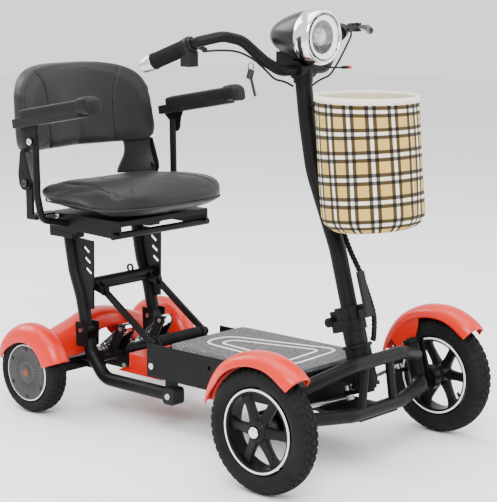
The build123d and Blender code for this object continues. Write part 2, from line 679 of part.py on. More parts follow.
def backrest():
    back_x = -(FRONT_X + FRONT_TYRE_R)
    body = slab(back_x, back_x + 84, -196, 196, 584, 782)
    body = fillet(body.edges().filter_by(Axis.X), 50)
    for sign in SIDES.values():
        body += slab(-476, -438, sign * 196.5 - 6.5, sign * 196.5 + 6.5, 640, 676)
        body += slab(-446, -434, sign * 164.5 - 35, sign * 164.5 + 35, 532, 600)
        body += side_plate([(-478, 676), (-438, 676), (-422, 600), (-388, 536), (-388, 514), (-402, 508),
                            (-416, 514), (-446, 580)], sign * 200.5 - 2.5, sign * 200.5 + 2.5)
        body -= across(*BACK_PIN, sign * 195, sign * 206, 6 + RUNNING)
    return body


# ---- write one file per piece ------------------------------------------------------------------
def pieces():
    """Every named piece of the scooter."""
    out = {
        "deck_tray": deck_tray() - frame_bolts(), "deck_board": deck_board(), "battery_pack": battery_pack(),
        "controller_cover": controller_cover(), "head_tube": head_tube(),
        "front_subframe": front_subframe(), "rear_frame": rear_frame(),
        "deck_handle": deck_handle(), "frame_bolts": frame_bolts(),
        "swing_arm": swing_arm(), "rear_axle_shafts": rear_axle_shafts(),
        "rear_shroud": rear_shroud(), "shock_bodies": both(shock_body),
        "shock_rods": both(shock_rod), "shock_springs": both(shock_spring),
        "steerer": steerer(), "tie_rods": tie_rods(), "tiller_tube": tiller_tube(),
        "latch_lever": latch_lever(), "handlebar": handlebar(), "handlebar_grips": handlebar_grips(),
        "ignition_key": ignition_key(), "throttle_housing": throttle_housing(),
        "headlight_shell": headlight_shell(), "headlight_lens": headlight_lens(),
        "basket": basket(), "basket_hanger": basket_hanger(), "brake_perch": brake_perch(),
        "brake_lever": brake_lever(), "seat_posts": seat_posts(), "braces": braces(),
        "seat_base": seat_base(), "seat_cushion": seat_cushion(),
        "armrest_frames": armrest_frames(), "backrest": backrest(),
    }
    out["throttle_lever"] = throttle_lever()
    out["seat_lever"] = seat_lever()
    out["light_connector"] = light_connector()
    for name in CABLES:
        out[name] = cable(name)
    for name, sign in SIDES.items():
        out[f"rear_{name}_fender"] = rear_fender(sign)
        out[f"rear_{name}_tyre"] = tyre(REAR_X, sign * REAR_TRACK / 2, REAR_TYRE_R, REAR_TYRE_R,
                                        REAR_RIM_R, REAR_TYRE_W)
        out[f"rear_{name}_motor"] = hub_motor(sign)
        out[f"{name}_knuckle"] = knuckle(sign)
        out[f"front_{name}_fender"] = front_fender(sign)
        out[f"front_{name}_tyre"] = tyre(FRONT_X, sign * FRONT_TRACK / 2, FRONT_TYRE_R,
                                         FRONT_TYRE_R, FRONT_RIM_R, FRONT_TYRE_W)
        out[f"front_{name}_rim"] = front_rim(sign)
        out[f"{name}_axle_nut"] = axle_nut(sign)
        out[f"{name}_armrest_pad"] = armrest(sign)
    return out


os.makedirs("parts", exist_ok=True)
for node, shape in pieces().items():
    export_step(shape, f"parts/{node}.step")
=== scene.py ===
# %% [markdown]
# # A folding four-wheel mobility scooter
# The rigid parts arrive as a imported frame: one object for each named piece, already in place, with a
# body for each thing that moves.  This lesson dresses that frame.  Some pieces keep their frame shape
# and only get a finish; tyres, mudguards, cushions, the basket and the lamp are made again as smooth
# surfaces, because their look lives in curves, tread, seams and cloth.

# %% Load the frame and keep its box
import math
import bmesh
import bpy
import numpy as np
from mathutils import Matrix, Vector


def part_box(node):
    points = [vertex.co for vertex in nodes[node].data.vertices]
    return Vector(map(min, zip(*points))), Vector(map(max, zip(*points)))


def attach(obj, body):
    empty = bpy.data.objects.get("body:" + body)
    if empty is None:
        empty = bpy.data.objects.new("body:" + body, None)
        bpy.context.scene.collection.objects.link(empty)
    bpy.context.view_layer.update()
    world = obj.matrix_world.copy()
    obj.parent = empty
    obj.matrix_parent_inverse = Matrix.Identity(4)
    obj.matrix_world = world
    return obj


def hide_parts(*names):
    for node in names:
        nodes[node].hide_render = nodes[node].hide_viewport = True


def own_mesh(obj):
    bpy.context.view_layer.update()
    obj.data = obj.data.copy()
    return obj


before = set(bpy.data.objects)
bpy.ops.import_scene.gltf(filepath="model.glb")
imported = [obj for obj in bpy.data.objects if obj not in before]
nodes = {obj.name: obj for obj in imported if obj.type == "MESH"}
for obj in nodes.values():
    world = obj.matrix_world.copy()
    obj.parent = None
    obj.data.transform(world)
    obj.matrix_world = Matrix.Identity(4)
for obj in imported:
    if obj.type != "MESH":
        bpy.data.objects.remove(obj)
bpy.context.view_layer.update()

# %% [markdown]
# ## The camera
# The scooter is seen from its front right corner, a little above the basket, through a long lens, so
# the far wheel looks only slightly smaller than the near one.

# %% Camera
camera_data = bpy.data.cameras.new("camera")
camera = bpy.data.objects.new("camera", camera_data)
bpy.context.scene.collection.objects.link(camera)
bpy.context.scene.camera = camera
camera_data.lens, camera_data.sensor_width = 115.93, 36.0
camera.location = (2.3761, -2.5250, 1.0168)
camera.rotation_mode = "QUATERNION"
look = Vector((0.0, 0.09598, 0.3774)) - camera.location
camera.rotation_quaternion = look.to_track_quat("-Z", "Y")
camera_data.clip_start, camera_data.clip_end = 0.05, 60.0
print("camera distance", round(look.length, 3))

# %% [markdown]
# ## Finishes
# Every finish is a node graph on object coordinates, so it stays put when a piece turns with its body.
# A real surface is never one even colour: powder coat has a fine orange peel, rubber is dusty, leather
# has a grain of small cells.  One helper makes the common graph: a slow noise moves the colour
# between two tones and the gloss between two values, and a fine noise or cell pattern makes the bump.

# %% The finish helper
def finish(name, light, dark, patch=9.0, rough=(0.4, 0.55), metal=0.0, grain="noise", scale=900.0,
           depth=0.0002, strength=0.4, **sockets):
    """Base Color = mix(dark, light, noise(patch)); Roughness = range(noise); Normal = bump(grain)."""
    material = bpy.data.materials.new(name)
    material.use_nodes = True
    tree = material.node_tree
    shader = tree.nodes["Principled BSDF"]
    coordinate = tree.nodes.new("ShaderNodeTexCoord")
    slow = tree.nodes.new("ShaderNodeTexNoise")
    slow.inputs["Scale"].default_value = patch
    slow.inputs["Detail"].default_value = 6.0
    tree.links.new(coordinate.outputs["Object"], slow.inputs["Vector"])
    tone = tree.nodes.new("ShaderNodeValToRGB")
    tone.color_ramp.elements[0].position, tone.color_ramp.elements[1].position = 0.32, 0.68
    tone.color_ramp.elements[0].color = (*dark, 1)
    tone.color_ramp.elements[1].color = (*light, 1)
    tree.links.new(slow.outputs["Fac"], tone.inputs["Fac"])
    tree.links.new(tone.outputs["Color"], shader.inputs["Base Color"])
    gloss = tree.nodes.new("ShaderNodeMapRange")
    gloss.inputs["To Min"].default_value, gloss.inputs["To Max"].default_value = rough
    tree.links.new(slow.outputs["Fac"], gloss.inputs["Value"])
    tree.links.new(gloss.outputs["Result"], shader.inputs["Roughness"])
    if grain == "cells":
        fine = tree.nodes.new("ShaderNodeTexVoronoi")
        fine.feature = "DISTANCE_TO_EDGE"
        height = fine.outputs["Distance"]
    elif grain == "lines":
        fine = tree.nodes.new("ShaderNodeTexWave")
        fine.inputs["Distortion"].default_value = 2.0
        height = fine.outputs["Fac"]
    else:
        fine = tree.nodes.new("ShaderNodeTexNoise")
        fine.inputs["Detail"].default_value = 3.0
        height = fine.outputs["Fac"]
    fine.inputs["Scale"].default_value = scale
    tree.links.new(coordinate.outputs["Object"], fine.inputs["Vector"])
    bump = tree.nodes.new("ShaderNodeBump")
    bump.inputs["Strength"].default_value = strength
    bump.inputs["Distance"].default_value = depth
    tree.links.new(height, bump.inputs["Height"])
    tree.links.new(bump.outputs["Normal"], shader.inputs["Normal"])
    shader.inputs["Metallic"].default_value = metal
    for socket, value in sockets.items():
        shader.inputs[socket.replace("_", " ")].default_value = value
    return material


# %% [markdown]
# ## The finishes of this scooter
# Steel tubes wear a satin black powder coat.  The mudguards are glossy tomato-red plastic.  Tyres are
# matt rubber that has gathered a little dust.  Chrome and zinc only differ in how sharp they reflect.

# %% Paint, plastic, metal and rubber
powder_black = finish("powder_black", (0.006, 0.006, 0.0065), (0.003, 0.003, 0.003), 14, (0.34, 0.50),
                      scale=1400, depth=0.00012, strength=0.35, Specular_IOR_Level=0.12)
guard_red = finish("guard_red", (0.640, 0.012, 0.003), (0.560, 0.009, 0.002), 6, (0.24, 0.34),
                   scale=700, depth=0.00008, strength=0.2, Specular_IOR_Level=0.40)
rubber = finish("rubber", (0.010, 0.010, 0.010), (0.005, 0.005, 0.005), 24, (0.62, 0.82),
                scale=1100, depth=0.00025, strength=0.4, Specular_IOR_Level=0.12)
wheel_black = finish("wheel_black", (0.006, 0.006, 0.0065), (0.004, 0.004, 0.004), 20, (0.30, 0.44),
                     scale=1500, depth=0.0001, strength=0.25, Specular_IOR_Level=0.12)
motor_black = finish("motor_black", (0.010, 0.010, 0.011), (0.006, 0.006, 0.006), 30, (0.36, 0.5),
                     metal=0.0, grain="lines", scale=420, depth=0.00006, strength=0.2)
ring_white = finish("ring_white", (0.86, 0.86, 0.84), (0.76, 0.76, 0.74), 30, (0.3, 0.45),
                    scale=900, depth=0.00005, strength=0.2)
chrome = finish("chrome", (0.86, 0.87, 0.88), (0.78, 0.79, 0.80), 40, (0.05, 0.12), metal=1.0,
                grain="lines", scale=600, depth=0.00002, strength=0.1)
zinc = finish("zinc", (0.66, 0.67, 0.68), (0.48, 0.49, 0.50), 60, (0.22, 0.36), metal=1.0,
              grain="lines", scale=500, depth=0.00005, strength=0.2)
dark_steel = finish("dark_steel", (0.06, 0.06, 0.063), (0.035, 0.035, 0.037), 60, (0.28, 0.42), metal=0.9,
                    scale=900, depth=0.00008, strength=0.25)
moulded_black = finish("moulded_black", (0.012, 0.012, 0.013), (0.007, 0.007, 0.008), 18, (0.42, 0.58),
                       scale=1800, depth=0.00015, strength=0.45, Specular_IOR_Level=0.14)
gloss_black = finish("gloss_black", (0.004, 0.004, 0.005), (0.003, 0.003, 0.003), 10, (0.22, 0.32),
                     scale=300, depth=0.00003, strength=0.1, Specular_IOR_Level=0.30)
cable_black = finish("cable_black", (0.010, 0.010, 0.010), (0.006, 0.006, 0.006), 40, (0.34, 0.46),
                     scale=1600, depth=0.0001, strength=0.3, Specular_IOR_Level=0.12)
connector_red = finish("connector_red", (0.62, 0.035, 0.012), (0.50, 0.025, 0.010), 80, (0.35, 0.45),
                       scale=900, depth=0.00005, strength=0.2)
battery_grey = finish("battery_grey", (0.035, 0.036, 0.038), (0.022, 0.023, 0.024), 12, (0.5, 0.65),
                      scale=1600, depth=0.00015, strength=0.4)
emblem_bronze = finish("emblem_bronze", (0.20, 0.060, 0.018), (0.14, 0.040, 0.012), 120, (0.32, 0.44),
                       metal=0.5, scale=900, depth=0.00005, strength=0.2)
grip_foam = finish("grip_foam", (0.011, 0.011, 0.011), (0.006, 0.006, 0.006), 30, (0.72, 0.88),
                   grain="cells", scale=1300, depth=0.0003, strength=0.6, Specular_IOR_Level=0.12)
seat_leather = finish("seat_leather", (0.016, 0.016, 0.018), (0.011, 0.011, 0.0125), 8, (0.36, 0.52),
                      grain="cells", scale=620, depth=0.00022, strength=0.45, Specular_IOR_Level=0.20)
pad_vinyl = finish("pad_vinyl", (0.010, 0.010, 0.011), (0.006, 0.006, 0.007), 12, (0.44, 0.60),
                   grain="cells", scale=900, depth=0.00018, strength=0.5, Specular_IOR_Level=0.14)
thread_black = finish("thread_black", (0.012, 0.012, 0.013), (0.006, 0.006, 0.007), 300, (0.6, 0.8),
                      grain="lines", scale=1400, depth=0.0002, strength=0.6)
led_white = finish("led_white", (0.95, 0.96, 1.0), (0.86, 0.88, 0.93), 200, (0.3, 0.4),
                   scale=900, depth=0.00003, strength=0.1, Emission_Color=(0.92, 0.96, 1.0, 1),
                   Emission_Strength=1.1)
clear_lens = finish("clear_lens", (0.98, 0.99, 1.0), (0.96, 0.97, 0.98), 30, (0.0, 0.03),
                    scale=200, depth=0.00002, strength=0.05, Transmission_Weight=1.0, IOR=1.46)
print("finishes", len(bpy.data.materials))

# %% [markdown]
# ## Grit on the foot deck
# The foot board has a non-slip sheet: dark grey with pale mineral specks pressed into it.  Small
# cells whose random value is high become the pale specks, and the same cells lift the surface.

# %% Deck grit
def deck_grit():
    """Base Color = mix(grey, pale, random(cell) > 0.82); bump from the same cells."""
    material = bpy.data.materials.new("deck_grit")
    material.use_nodes = True
    tree = material.node_tree
    shader = tree.nodes["Principled BSDF"]
    coordinate = tree.nodes.new("ShaderNodeTexCoord")
    cells = tree.nodes.new("ShaderNodeTexVoronoi")
    cells.inputs["Scale"].default_value = 520.0
    tree.links.new(coordinate.outputs["Object"], cells.inputs["Vector"])
    pale = tree.nodes.new("ShaderNodeValToRGB")
    pale.color_ramp.interpolation = "CONSTANT"
    pale.color_ramp.elements[0].color = (0.045, 0.046, 0.050, 1)
    pale.color_ramp.elements[1].color = (0.24, 0.245, 0.25, 1)
    pale.color_ramp.elements[1].position = 0.80
    middle = pale.color_ramp.elements.new(0.45)
    middle.color = (0.078, 0.080, 0.085, 1)
    tree.links.new(cells.outputs["Color"], pale.inputs["Fac"])
    tree.links.new(pale.outputs["Color"], shader.inputs["Base Color"])
    bump = tree.nodes.new("ShaderNodeBump")
    bump.inputs["Strength"].default_value = 0.5
    bump.inputs["Distance"].default_value = 0.0004
    tree.links.new(cells.outputs["Distance"], bump.inputs["Height"])
    tree.links.new(bump.outputs["Normal"], shader.inputs["Normal"])
    shader.inputs["Roughness"].default_value = 0.72
    return material


deck_sheet = deck_grit()

# %% [markdown]
# ## Woven cloth
# The basket is a woven check: sand-coloured ground, and pairs of broad charcoal lines with a cream line
# between them, the same across and up.  The piece carries a map in metres, so a stripe is a band of that
# map: the distance of a map coordinate from the stripe's middle, within one repeat, is less than half its
# width.  Two crossed waves of the map make the over-and-under of the threads.

# %% Cloth graph
class Graph:
    """A few short words for building node maths."""

    def __init__(self, name):
        self.material = bpy.data.materials.new(name)
        self.material.use_nodes = True
        self.nodes, self.links = self.material.node_tree.nodes, self.material.node_tree.links
        self.shader = self.nodes["Principled BSDF"]

    def math(self, operation, a, b=0.0):
        node = self.nodes.new("ShaderNodeMath")
        node.operation = operation
        for socket, value in zip(node.inputs, (a, b)):
            if isinstance(value, (int, float)):
                socket.default_value = value
            else:
                self.links.new(value, socket)
        return node.outputs[0]

    def stripe(self, along, period, middle, width):
        """1 inside a band: |fract(along / period) - middle| < width / 2, all as shares of the repeat."""
        place = self.math("FRACT", self.math("DIVIDE", along, period))
        off = self.math("ABSOLUTE", self.math("SUBTRACT", place, middle))
        return self.math("LESS_THAN", off, width / 2)

    def blend(self, amount, under, over):
        node = self.nodes.new("ShaderNodeMix")
        node.data_type = "RGBA"
        colour_sockets = [s for s in node.inputs if s.type == "RGBA"]
        self.links.new(amount, node.inputs[0])
        for socket, value in zip(colour_sockets, (under, over)):
            if isinstance(value, tuple):
                socket.default_value = value
            else:
                self.links.new(value, socket)
        return [s for s in node.outputs if s.type == "RGBA"][0]

    def weave_bump(self, u, v, pitch, depth):
        """Height = sin(2 pi u / pitch) * sin(2 pi v / pitch), the over-and-under of the threads."""
        waves = [self.math("SINE", self.math("MULTIPLY", c, 2 * math.pi / pitch)) for c in (u, v)]
        bump = self.nodes.new("ShaderNodeBump")
        bump.inputs["Strength"].default_value = 0.6
        bump.inputs["Distance"].default_value = depth
        self.links.new(self.math("MULTIPLY", *waves), bump.inputs["Height"])
        self.links.new(bump.outputs["Normal"], self.shader.inputs["Normal"])

    def map_axes(self):
        split = self.nodes.new("ShaderNodeSeparateXYZ")
        coordinate = self.nodes.new("ShaderNodeTexCoord")
        self.links.new(coordinate.outputs["UV"], split.inputs["Vector"])
        return split.outputs["X"], split.outputs["Y"], coordinate


def checked_cloth():
    """Sand ground, cream lines, charcoal line pairs; where two lines cross, both tones add up."""
    cloth = Graph("checked_cloth")
    u, v, coordinate = cloth.map_axes()
    period = 0.045
    ground = cloth.nodes.new("ShaderNodeTexNoise")
    ground.inputs["Scale"].default_value = 900.0
    cloth.links.new(coordinate.outputs["UV"], ground.inputs["Vector"])
    colour = cloth.blend(ground.outputs["Fac"], (0.52, 0.33, 0.085, 1), (0.64, 0.44, 0.14, 1))
    for along in (u, v):
        band = cloth.math("MULTIPLY", cloth.stripe(along, period, 0.50, 0.16), 0.85)
        colour = cloth.blend(band, colour, (0.88, 0.84, 0.74, 1))
    for along in (u, v):
        for middle in (0.33, 0.67):
            line = cloth.math("MULTIPLY", cloth.stripe(along, period, middle, 0.17), 0.90)
            colour = cloth.blend(line, colour, (0.008, 0.008, 0.009, 1))
    cloth.links.new(colour, cloth.shader.inputs["Base Color"])
    cloth.weave_bump(u, v, 0.0011, 0.00025)
    cloth.shader.inputs["Roughness"].default_value = 0.85
    cloth.shader.inputs["Sheen Weight"].default_value = 0.03
    cloth.shader.inputs["Specular IOR Level"].default_value = 0.10
    return cloth.material


def plain_cloth(name, light, dark, pitch=0.0012):
    """One dyed colour with a woven bump and a slow unevenness."""
    cloth = Graph(name)
    u, v, coordinate = cloth.map_axes()
    slow = cloth.nodes.new("ShaderNodeTexNoise")
    slow.inputs["Scale"].default_value = 40.0
    slow.inputs["Detail"].default_value = 5.0
    cloth.links.new(coordinate.outputs["Object"], slow.inputs["Vector"])
    colour = cloth.blend(slow.outputs["Fac"], (*dark, 1), (*light, 1))
    cloth.links.new(colour, cloth.shader.inputs["Base Color"])
    cloth.weave_bump(u, v, pitch, 0.00025)
    cloth.shader.inputs["Roughness"].default_value = 0.88
    cloth.shader.inputs["Sheen Weight"].default_value = 0.05
    cloth.shader.inputs["Specular IOR Level"].default_value = 0.12
    return cloth.material


basket_check = checked_cloth()
basket_lining_cloth = plain_cloth("basket_lining_cloth", (0.72, 0.63, 0.47), (0.60, 0.51, 0.36))
piping_cream = plain_cloth("piping_cream", (0.86, 0.82, 0.72), (0.76, 0.71, 0.60))
print("cloths made")

# %% [markdown]
# ## Surfaces from arrays
# Each new piece is a grid of points worked out with numpy.  The mesh maker below joins neighbours of
# the grid into four-sided faces, closes the ends with a fan when asked, welds points that meet at a
# pole, and turns every face outwards.  Several grids can share one object, like six equal spokes.

# %% The mesh maker
scene_collection = bpy.context.scene.collection


def make_piece(name, grids, material, body, wrap=(False, False), caps=False, map_uv=None,
               thickness=0.0, bevel=0.0, subdivide=0, replaces=(), outward=None):
    """grids: arrays P[i, j] of points.  wrap = (i closes, j closes); caps = fans over the first and
    last ring of i.  map_uv = (u of each i, v of each j).  thickness grows a wall inwards."""
    grids = grids if isinstance(grids, list) else [grids]
    points, faces, face_uv, base = [], [], [], 0
    for grid in grids:
        rows, columns = grid.shape[:2]
        index = base + np.arange(rows * columns).reshape(rows, columns)
        i = np.arange(rows if wrap[0] else rows - 1)[:, None]
        j = np.arange(columns if wrap[1] else columns - 1)[None, :]
        corners = [(i, j), (i + 1, j), (i + 1, j + 1), (i, j + 1)]
        quads = np.stack([index[a % rows, b % columns] for a, b in corners], -1).reshape(-1, 4)
        points.append(grid.reshape(-1, 3))
        faces += quads.tolist()
        if map_uv is not None:
            us, vs = (np.asarray(m, float) for m in map_uv)
            face_uv.append(np.stack([np.stack(np.broadcast_arrays(us[a], vs[b]), -1) for a, b in corners],
                                    -2).reshape(-1, 2))
        base += rows * columns
        if caps:
            for row in (0, rows - 1):
                points.append(grid[row].mean(0)[None])
                ring = index[row]
                faces += [[base, int(p), int(q)] for p, q in zip(ring, np.roll(ring, -1))]
                if map_uv is not None:
                    face_uv.append(np.zeros((3 * columns, 2)))
                base += 1
    mesh = bpy.data.meshes.new(name)
    mesh.from_pydata(np.concatenate(points).tolist(), [], faces)
    if map_uv is not None:
        layer = mesh.uv_layers.new(name="cut")
        layer.data.foreach_set("uv", np.concatenate(face_uv).astype(np.float32).ravel())
    work = bmesh.new()
    work.from_mesh(mesh)
    bmesh.ops.remove_doubles(work, verts=work.verts, dist=1e-6)
    bmesh.ops.dissolve_degenerate(work, edges=work.edges, dist=1e-7)
    bmesh.ops.recalc_face_normals(work, faces=work.faces)
    if outward is not None:
        work.faces.ensure_lookup_table()
        facing = sum((f.normal.dot(f.calc_center_median() - Vector(outward)) for f in work.faces))
        if facing < 0:
            bmesh.ops.reverse_faces(work, faces=work.faces)
    for face in work.faces:
        face.smooth = True
    work.to_mesh(mesh)
    work.free()
    piece = bpy.data.objects.new(name, mesh)
    scene_collection.objects.link(piece)
    mesh.materials.append(material)
    if thickness:
        wall = piece.modifiers.new("wall", "SOLIDIFY")
        wall.thickness, wall.offset = thickness, -1.0
        wall.use_rim = True
    if bevel:
        soft = piece.modifiers.new("soft edges", "BEVEL")
        soft.width, soft.segments, soft.limit_method = bevel, 2, "ANGLE"
        soft.angle_limit = math.radians(40)
        soft.harden_normals = False
    if subdivide:
        smoother = piece.modifiers.new("smoother", "SUBSURF")
        smoother.levels = smoother.render_levels = subdivide
    if body:
        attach(piece, body)
    if replaces:
        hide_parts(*replaces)
    return piece


# %% [markdown]
# ## Three ways to make a grid
# A **turned** surface swings a profile of (distance along the axle, radius) about an axis.  A **carried**
# surface takes a ring along a line in space.  A **plate** is an outline pushed through a thickness.

# %% Turned, carried and plate surfaces
def turned(profile, centre, axis="y", steps=72):
    """P(t, k) = centre + s_k A + r_k (cos t B + sin t C), for a profile of distances s and radii r."""
    profile = np.asarray(profile, float)
    axes = {"y": ((0, 1, 0), (1, 0, 0), (0, 0, 1)), "x": ((1, 0, 0), (0, 1, 0), (0, 0, 1)),
            "z": ((0, 0, 1), (1, 0, 0), (0, 1, 0))}
    a, b, c = np.array(axes[axis], float) if isinstance(axis, str) else frame_about(axis)
    t = np.linspace(0, 2 * np.pi, steps, endpoint=False)[:, None, None]
    s, r = profile[None, :, 0, None], profile[None, :, 1, None]
    return np.asarray(centre, float) + s * a + r * (np.cos(t) * b + np.sin(t) * c)


def frame_about(direction):
    """Three crossed unit vectors, the first along the direction given."""
    a = np.asarray(direction, float) / np.linalg.norm(direction)
    b = np.cross(a, (0, 1, 0) if abs(a[1]) < 0.9 else (0, 0, 1))
    b /= np.linalg.norm(b)
    return np.array([a, b, np.cross(a, b)])


def smooth_line(points, count):
    """Catmull-Rom curve through the points, sampled evenly in its parameter."""
    points = np.asarray(points, float)
    padded = np.vstack([2 * points[0] - points[1], points, 2 * points[-1] - points[-2]])
    t = np.linspace(0, len(points) - 1 - 1e-9, count)
    k = t.astype(int)
    f = (t - k)[:, None]
    p0, p1, p2, p3 = (padded[k + n] for n in range(4))
    return 0.5 * (2 * p1 + (p2 - p0) * f + (2 * p0 - 5 * p1 + 4 * p2 - p3) * f ** 2
                  + (3 * p1 - p0 - 3 * p2 + p3) * f ** 3)


def carried(line, radius, sides=16, side=(0, 1, 0)):
    """P(i, v) = line_i + r_i(v) (cos v N_i + sin v B_i); N is side made square to the line."""
    line = np.asarray(line, float)
    tangent = np.gradient(line, axis=0)
    tangent /= np.linalg.norm(tangent, axis=1, keepdims=True)
    normal = np.asarray(side, float) - tangent * (tangent @ np.asarray(side, float))[:, None]
    normal /= np.linalg.norm(normal, axis=1, keepdims=True)
    across = np.cross(tangent, normal)
    v = np.linspace(0, 2 * np.pi, sides, endpoint=False)
    r = np.broadcast_to(np.asarray(radius, float), (len(line), sides)) if np.ndim(radius) != 1 \
        else np.asarray(radius, float)[:, None]
    r = r[..., None] if np.ndim(r) == 2 else r
    return (line[:, None] + r * (np.cos(v)[None, :, None] * normal[:, None]
                                 + np.sin(v)[None, :, None] * across[:, None]))


def plate(name, outline, low_y, high_y, material, body, bevel=0.001, replaces=()):
    """A flat plate standing along X and Z: the outline at two depths, with an outline face at each."""
    outline = np.asarray(outline, float)
    count = len(outline)
    points = [(x, y, z) for y in (low_y, high_y) for x, z in outline]
    faces = [[k, (k + 1) % count, count + (k + 1) % count, count + k] for k in range(count)]
    faces += [list(range(count)), list(range(2 * count - 1, count - 1, -1))]
    mesh = bpy.data.meshes.new(name)
    mesh.from_pydata(points, [], faces)
    work = bmesh.new()
    work.from_mesh(mesh)
    bmesh.ops.recalc_face_normals(work, faces=work.faces)
    work.to_mesh(mesh)
    work.free()
    piece = bpy.data.objects.new(name, mesh)
    scene_collection.objects.link(piece)
    mesh.materials.append(material)
    soft = piece.modifiers.new("soft edges", "BEVEL")
    soft.width, soft.segments = bevel, 2
    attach(piece, body)
    if replaces:
        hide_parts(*replaces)
    return piece


def rounded(value, power):
    """Signed power, sign(x) |x|^power, which squares off or softens a circle."""
    return np.sign(value) * np.abs(value) ** power


# %% [markdown]
# ## The lamp's lead
# One free cord shows on this scooter: the short lead that leaves the tail of the lamp's bracket and
# ends in a small red-tipped connector.  It is two strands in one jacket about 3.6 mm thick, springy
# enough to stand off the bracket in a gentle bow.  A spline with those few points gives that line.

# %% Lamp lead
lead_points = [(0.264, 0.020, 0.8075), (0.275, 0.026, 0.801), (0.289, 0.034, 0.799), (0.304, 0.042, 0.800)]
lead_curve = bpy.data.curves.new("lamp_lead", "CURVE")
lead_curve.dimensions = "3D"
lead_spline = lead_curve.splines.new("NURBS")
lead_spline.points.add(len(lead_points) - 1)
for spot, place in zip(lead_spline.points, lead_points):
    spot.co = (*place, 1.0)
lead_spline.order_u = 3
lead_spline.use_endpoint_u = True
lead_spline.resolution_u = 24
lead_curve.bevel_depth = 0.0018
lead_curve.bevel_resolution = 5
lead_curve.use_fill_caps = True
lead_curve.materials.append(cable_black)
lamp_lead = bpy.data.objects.new("lamp_lead", lead_curve)
scene_collection.objects.link(lamp_lead)
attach(lamp_lead, "tiller")
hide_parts("light_lead")

lead_end = np.array(lead_points[-1])
lead_way = np.array((0.018, 0.0096, 0.0012))
plug_profile = [(0, 0), (0, 0.0026), (0.002, 0.0034), (0.010, 0.0034), (0.0105, 0.0029), (0.012, 0.0029),
                (0.0125, 0.0034), (0.0185, 0.0033), (0.0204, 0.0024), (0.0204, 0)]
lamp_plug = make_piece("lamp_plug", turned(plug_profile, lead_end, lead_way, 24), moulded_black, "tiller",
                       wrap=(True, False), replaces=("light_connector",))
tip = [(0.0145, 0.0), (0.0145, 0.0037), (0.0188, 0.0036), (0.0206, 0.0027), (0.0206, 0.0)]
make_piece("lamp_plug_tip", turned(tip, lead_end, lead_way, 24), connector_red, "tiller",
           wrap=(True, False))
print("lead made")

# %% [markdown]
# ## Tyres
# The tyres are pneumatic, with a round carcass and a road tread: zigzag grooves run round the crown
# and slanted cuts leave blocks on both shoulders.  The section is a squared circle.  The grooves are
# cut by moving points inwards where a pattern of angle and width says so, so they catch the light.

# %% Tyre surface
def tyre_grid(centre, outer, inner, width, blocks, around, about=64):
    """Section y = w |cos|^0.8, r = m + h |sin|^0.8; minus groove depth where the tread pattern is cut."""
    turn = np.linspace(0, 2 * np.pi, around, endpoint=False)[:, None]
    ring = np.linspace(0, 2 * np.pi, about, endpoint=False)[None, :]
    middle, half = (outer + inner) / 2, (outer - inner) / 2
    y = rounded(np.cos(ring), 0.80) * width / 2
    r = middle + rounded(np.sin(ring), 0.86) * half
    lane = y / (width / 2)
    phase = turn * blocks / (2 * np.pi)
    zigzag = 0.10 * (4 * np.abs((phase % 1) - 0.5) - 1)
    centre_cut = np.clip(1.5 - np.abs(np.abs(lane) - 0.24 - zigzag) / 0.055, 0, 1)
    slant = (phase + 0.55 * np.abs(lane)) % 1
    side_cut = np.clip(1.6 - np.abs(slant - 0.5) / 0.12, 0, 1) * np.clip((np.abs(lane) - 0.42) / 0.06, 0, 1)
    edge_cut = np.clip(1.5 - np.abs(np.abs(lane) - 0.60) / 0.035, 0, 1)
    on_tread = np.clip((np.sin(ring) - 0.30) / 0.12, 0, 1)
    depth = 0.0042 * on_tread * np.maximum(np.maximum(centre_cut, side_cut), 0.8 * edge_cut)
    rib = (0.0007 * np.exp(-((np.sin(ring) + 0.10) / 0.06) ** 2)
           + 0.0006 * np.exp(-((np.sin(ring) + 0.72) / 0.05) ** 2))
    out_y, out_r = np.cos(ring), np.sin(ring)
    r = r - depth * np.abs(out_r) + 0 * turn
    y = y + rib * np.sign(out_y) + 0 * turn
    return np.stack([centre[0] + r * np.cos(turn), centre[1] + y, centre[2] + r * np.sin(turn)], -1)


sides = {"right": -1.0, "left": 1.0}
front_x, front_z, front_y = 0.387, 0.127, 0.288
rear_x, rear_z, rear_y = -0.387, 0.093, 0.204
for side, sign in sides.items():
    tread = tyre_grid((front_x, sign * front_y, front_z), 0.127, 0.0825, 0.0516, 46, 414)
    make_piece(f"front_{side}_tyre_tread", tread, rubber, f"front_{side}_wheel", wrap=(True, True),
               replaces=(f"front_{side}_tyre",))
    make_piece(f"rear_{side}_tyre_tread", tyre_grid((rear_x, sign * rear_y, rear_z), 0.093, 0.0635, 0.0496,
               38, 342, 56), rubber, f"rear_{side}_wheel", wrap=(True, True),
               replaces=(f"rear_{side}_tyre",))
print("tyres made")

# %% [markdown]
# ## Front rims
# A front rim is one aluminium casting: a deep barrel, a hub and six spokes that are broad at the hub,
# slim in the middle and flare into the barrel.  The lip that holds the tyre is painted white, which
# draws a thin pale circle on each side.  A spoke is a squared oval whose two widths change on the way out.

# %% Rim barrel, spokes and lip
def barrel_profile(inner, outer, half):
    """A closed channel: two lips, a drop centre between them, and a smooth inside."""
    return [(-half, inner + 0.001), (-half, outer - 0.001), (-half + 0.0015, outer), (-half + 0.004, outer),
            (-half + 0.006, outer - 0.0035), (half - 0.006, outer - 0.0035), (half - 0.004, outer),
            (half - 0.0015, outer), (half, outer - 0.001), (half, inner + 0.001), (half - 0.0015, inner),
            (half - 0.008, inner - 0.0005), (-half + 0.008, inner - 0.0005), (-half + 0.0015, inner),
            (-half, inner + 0.001)]


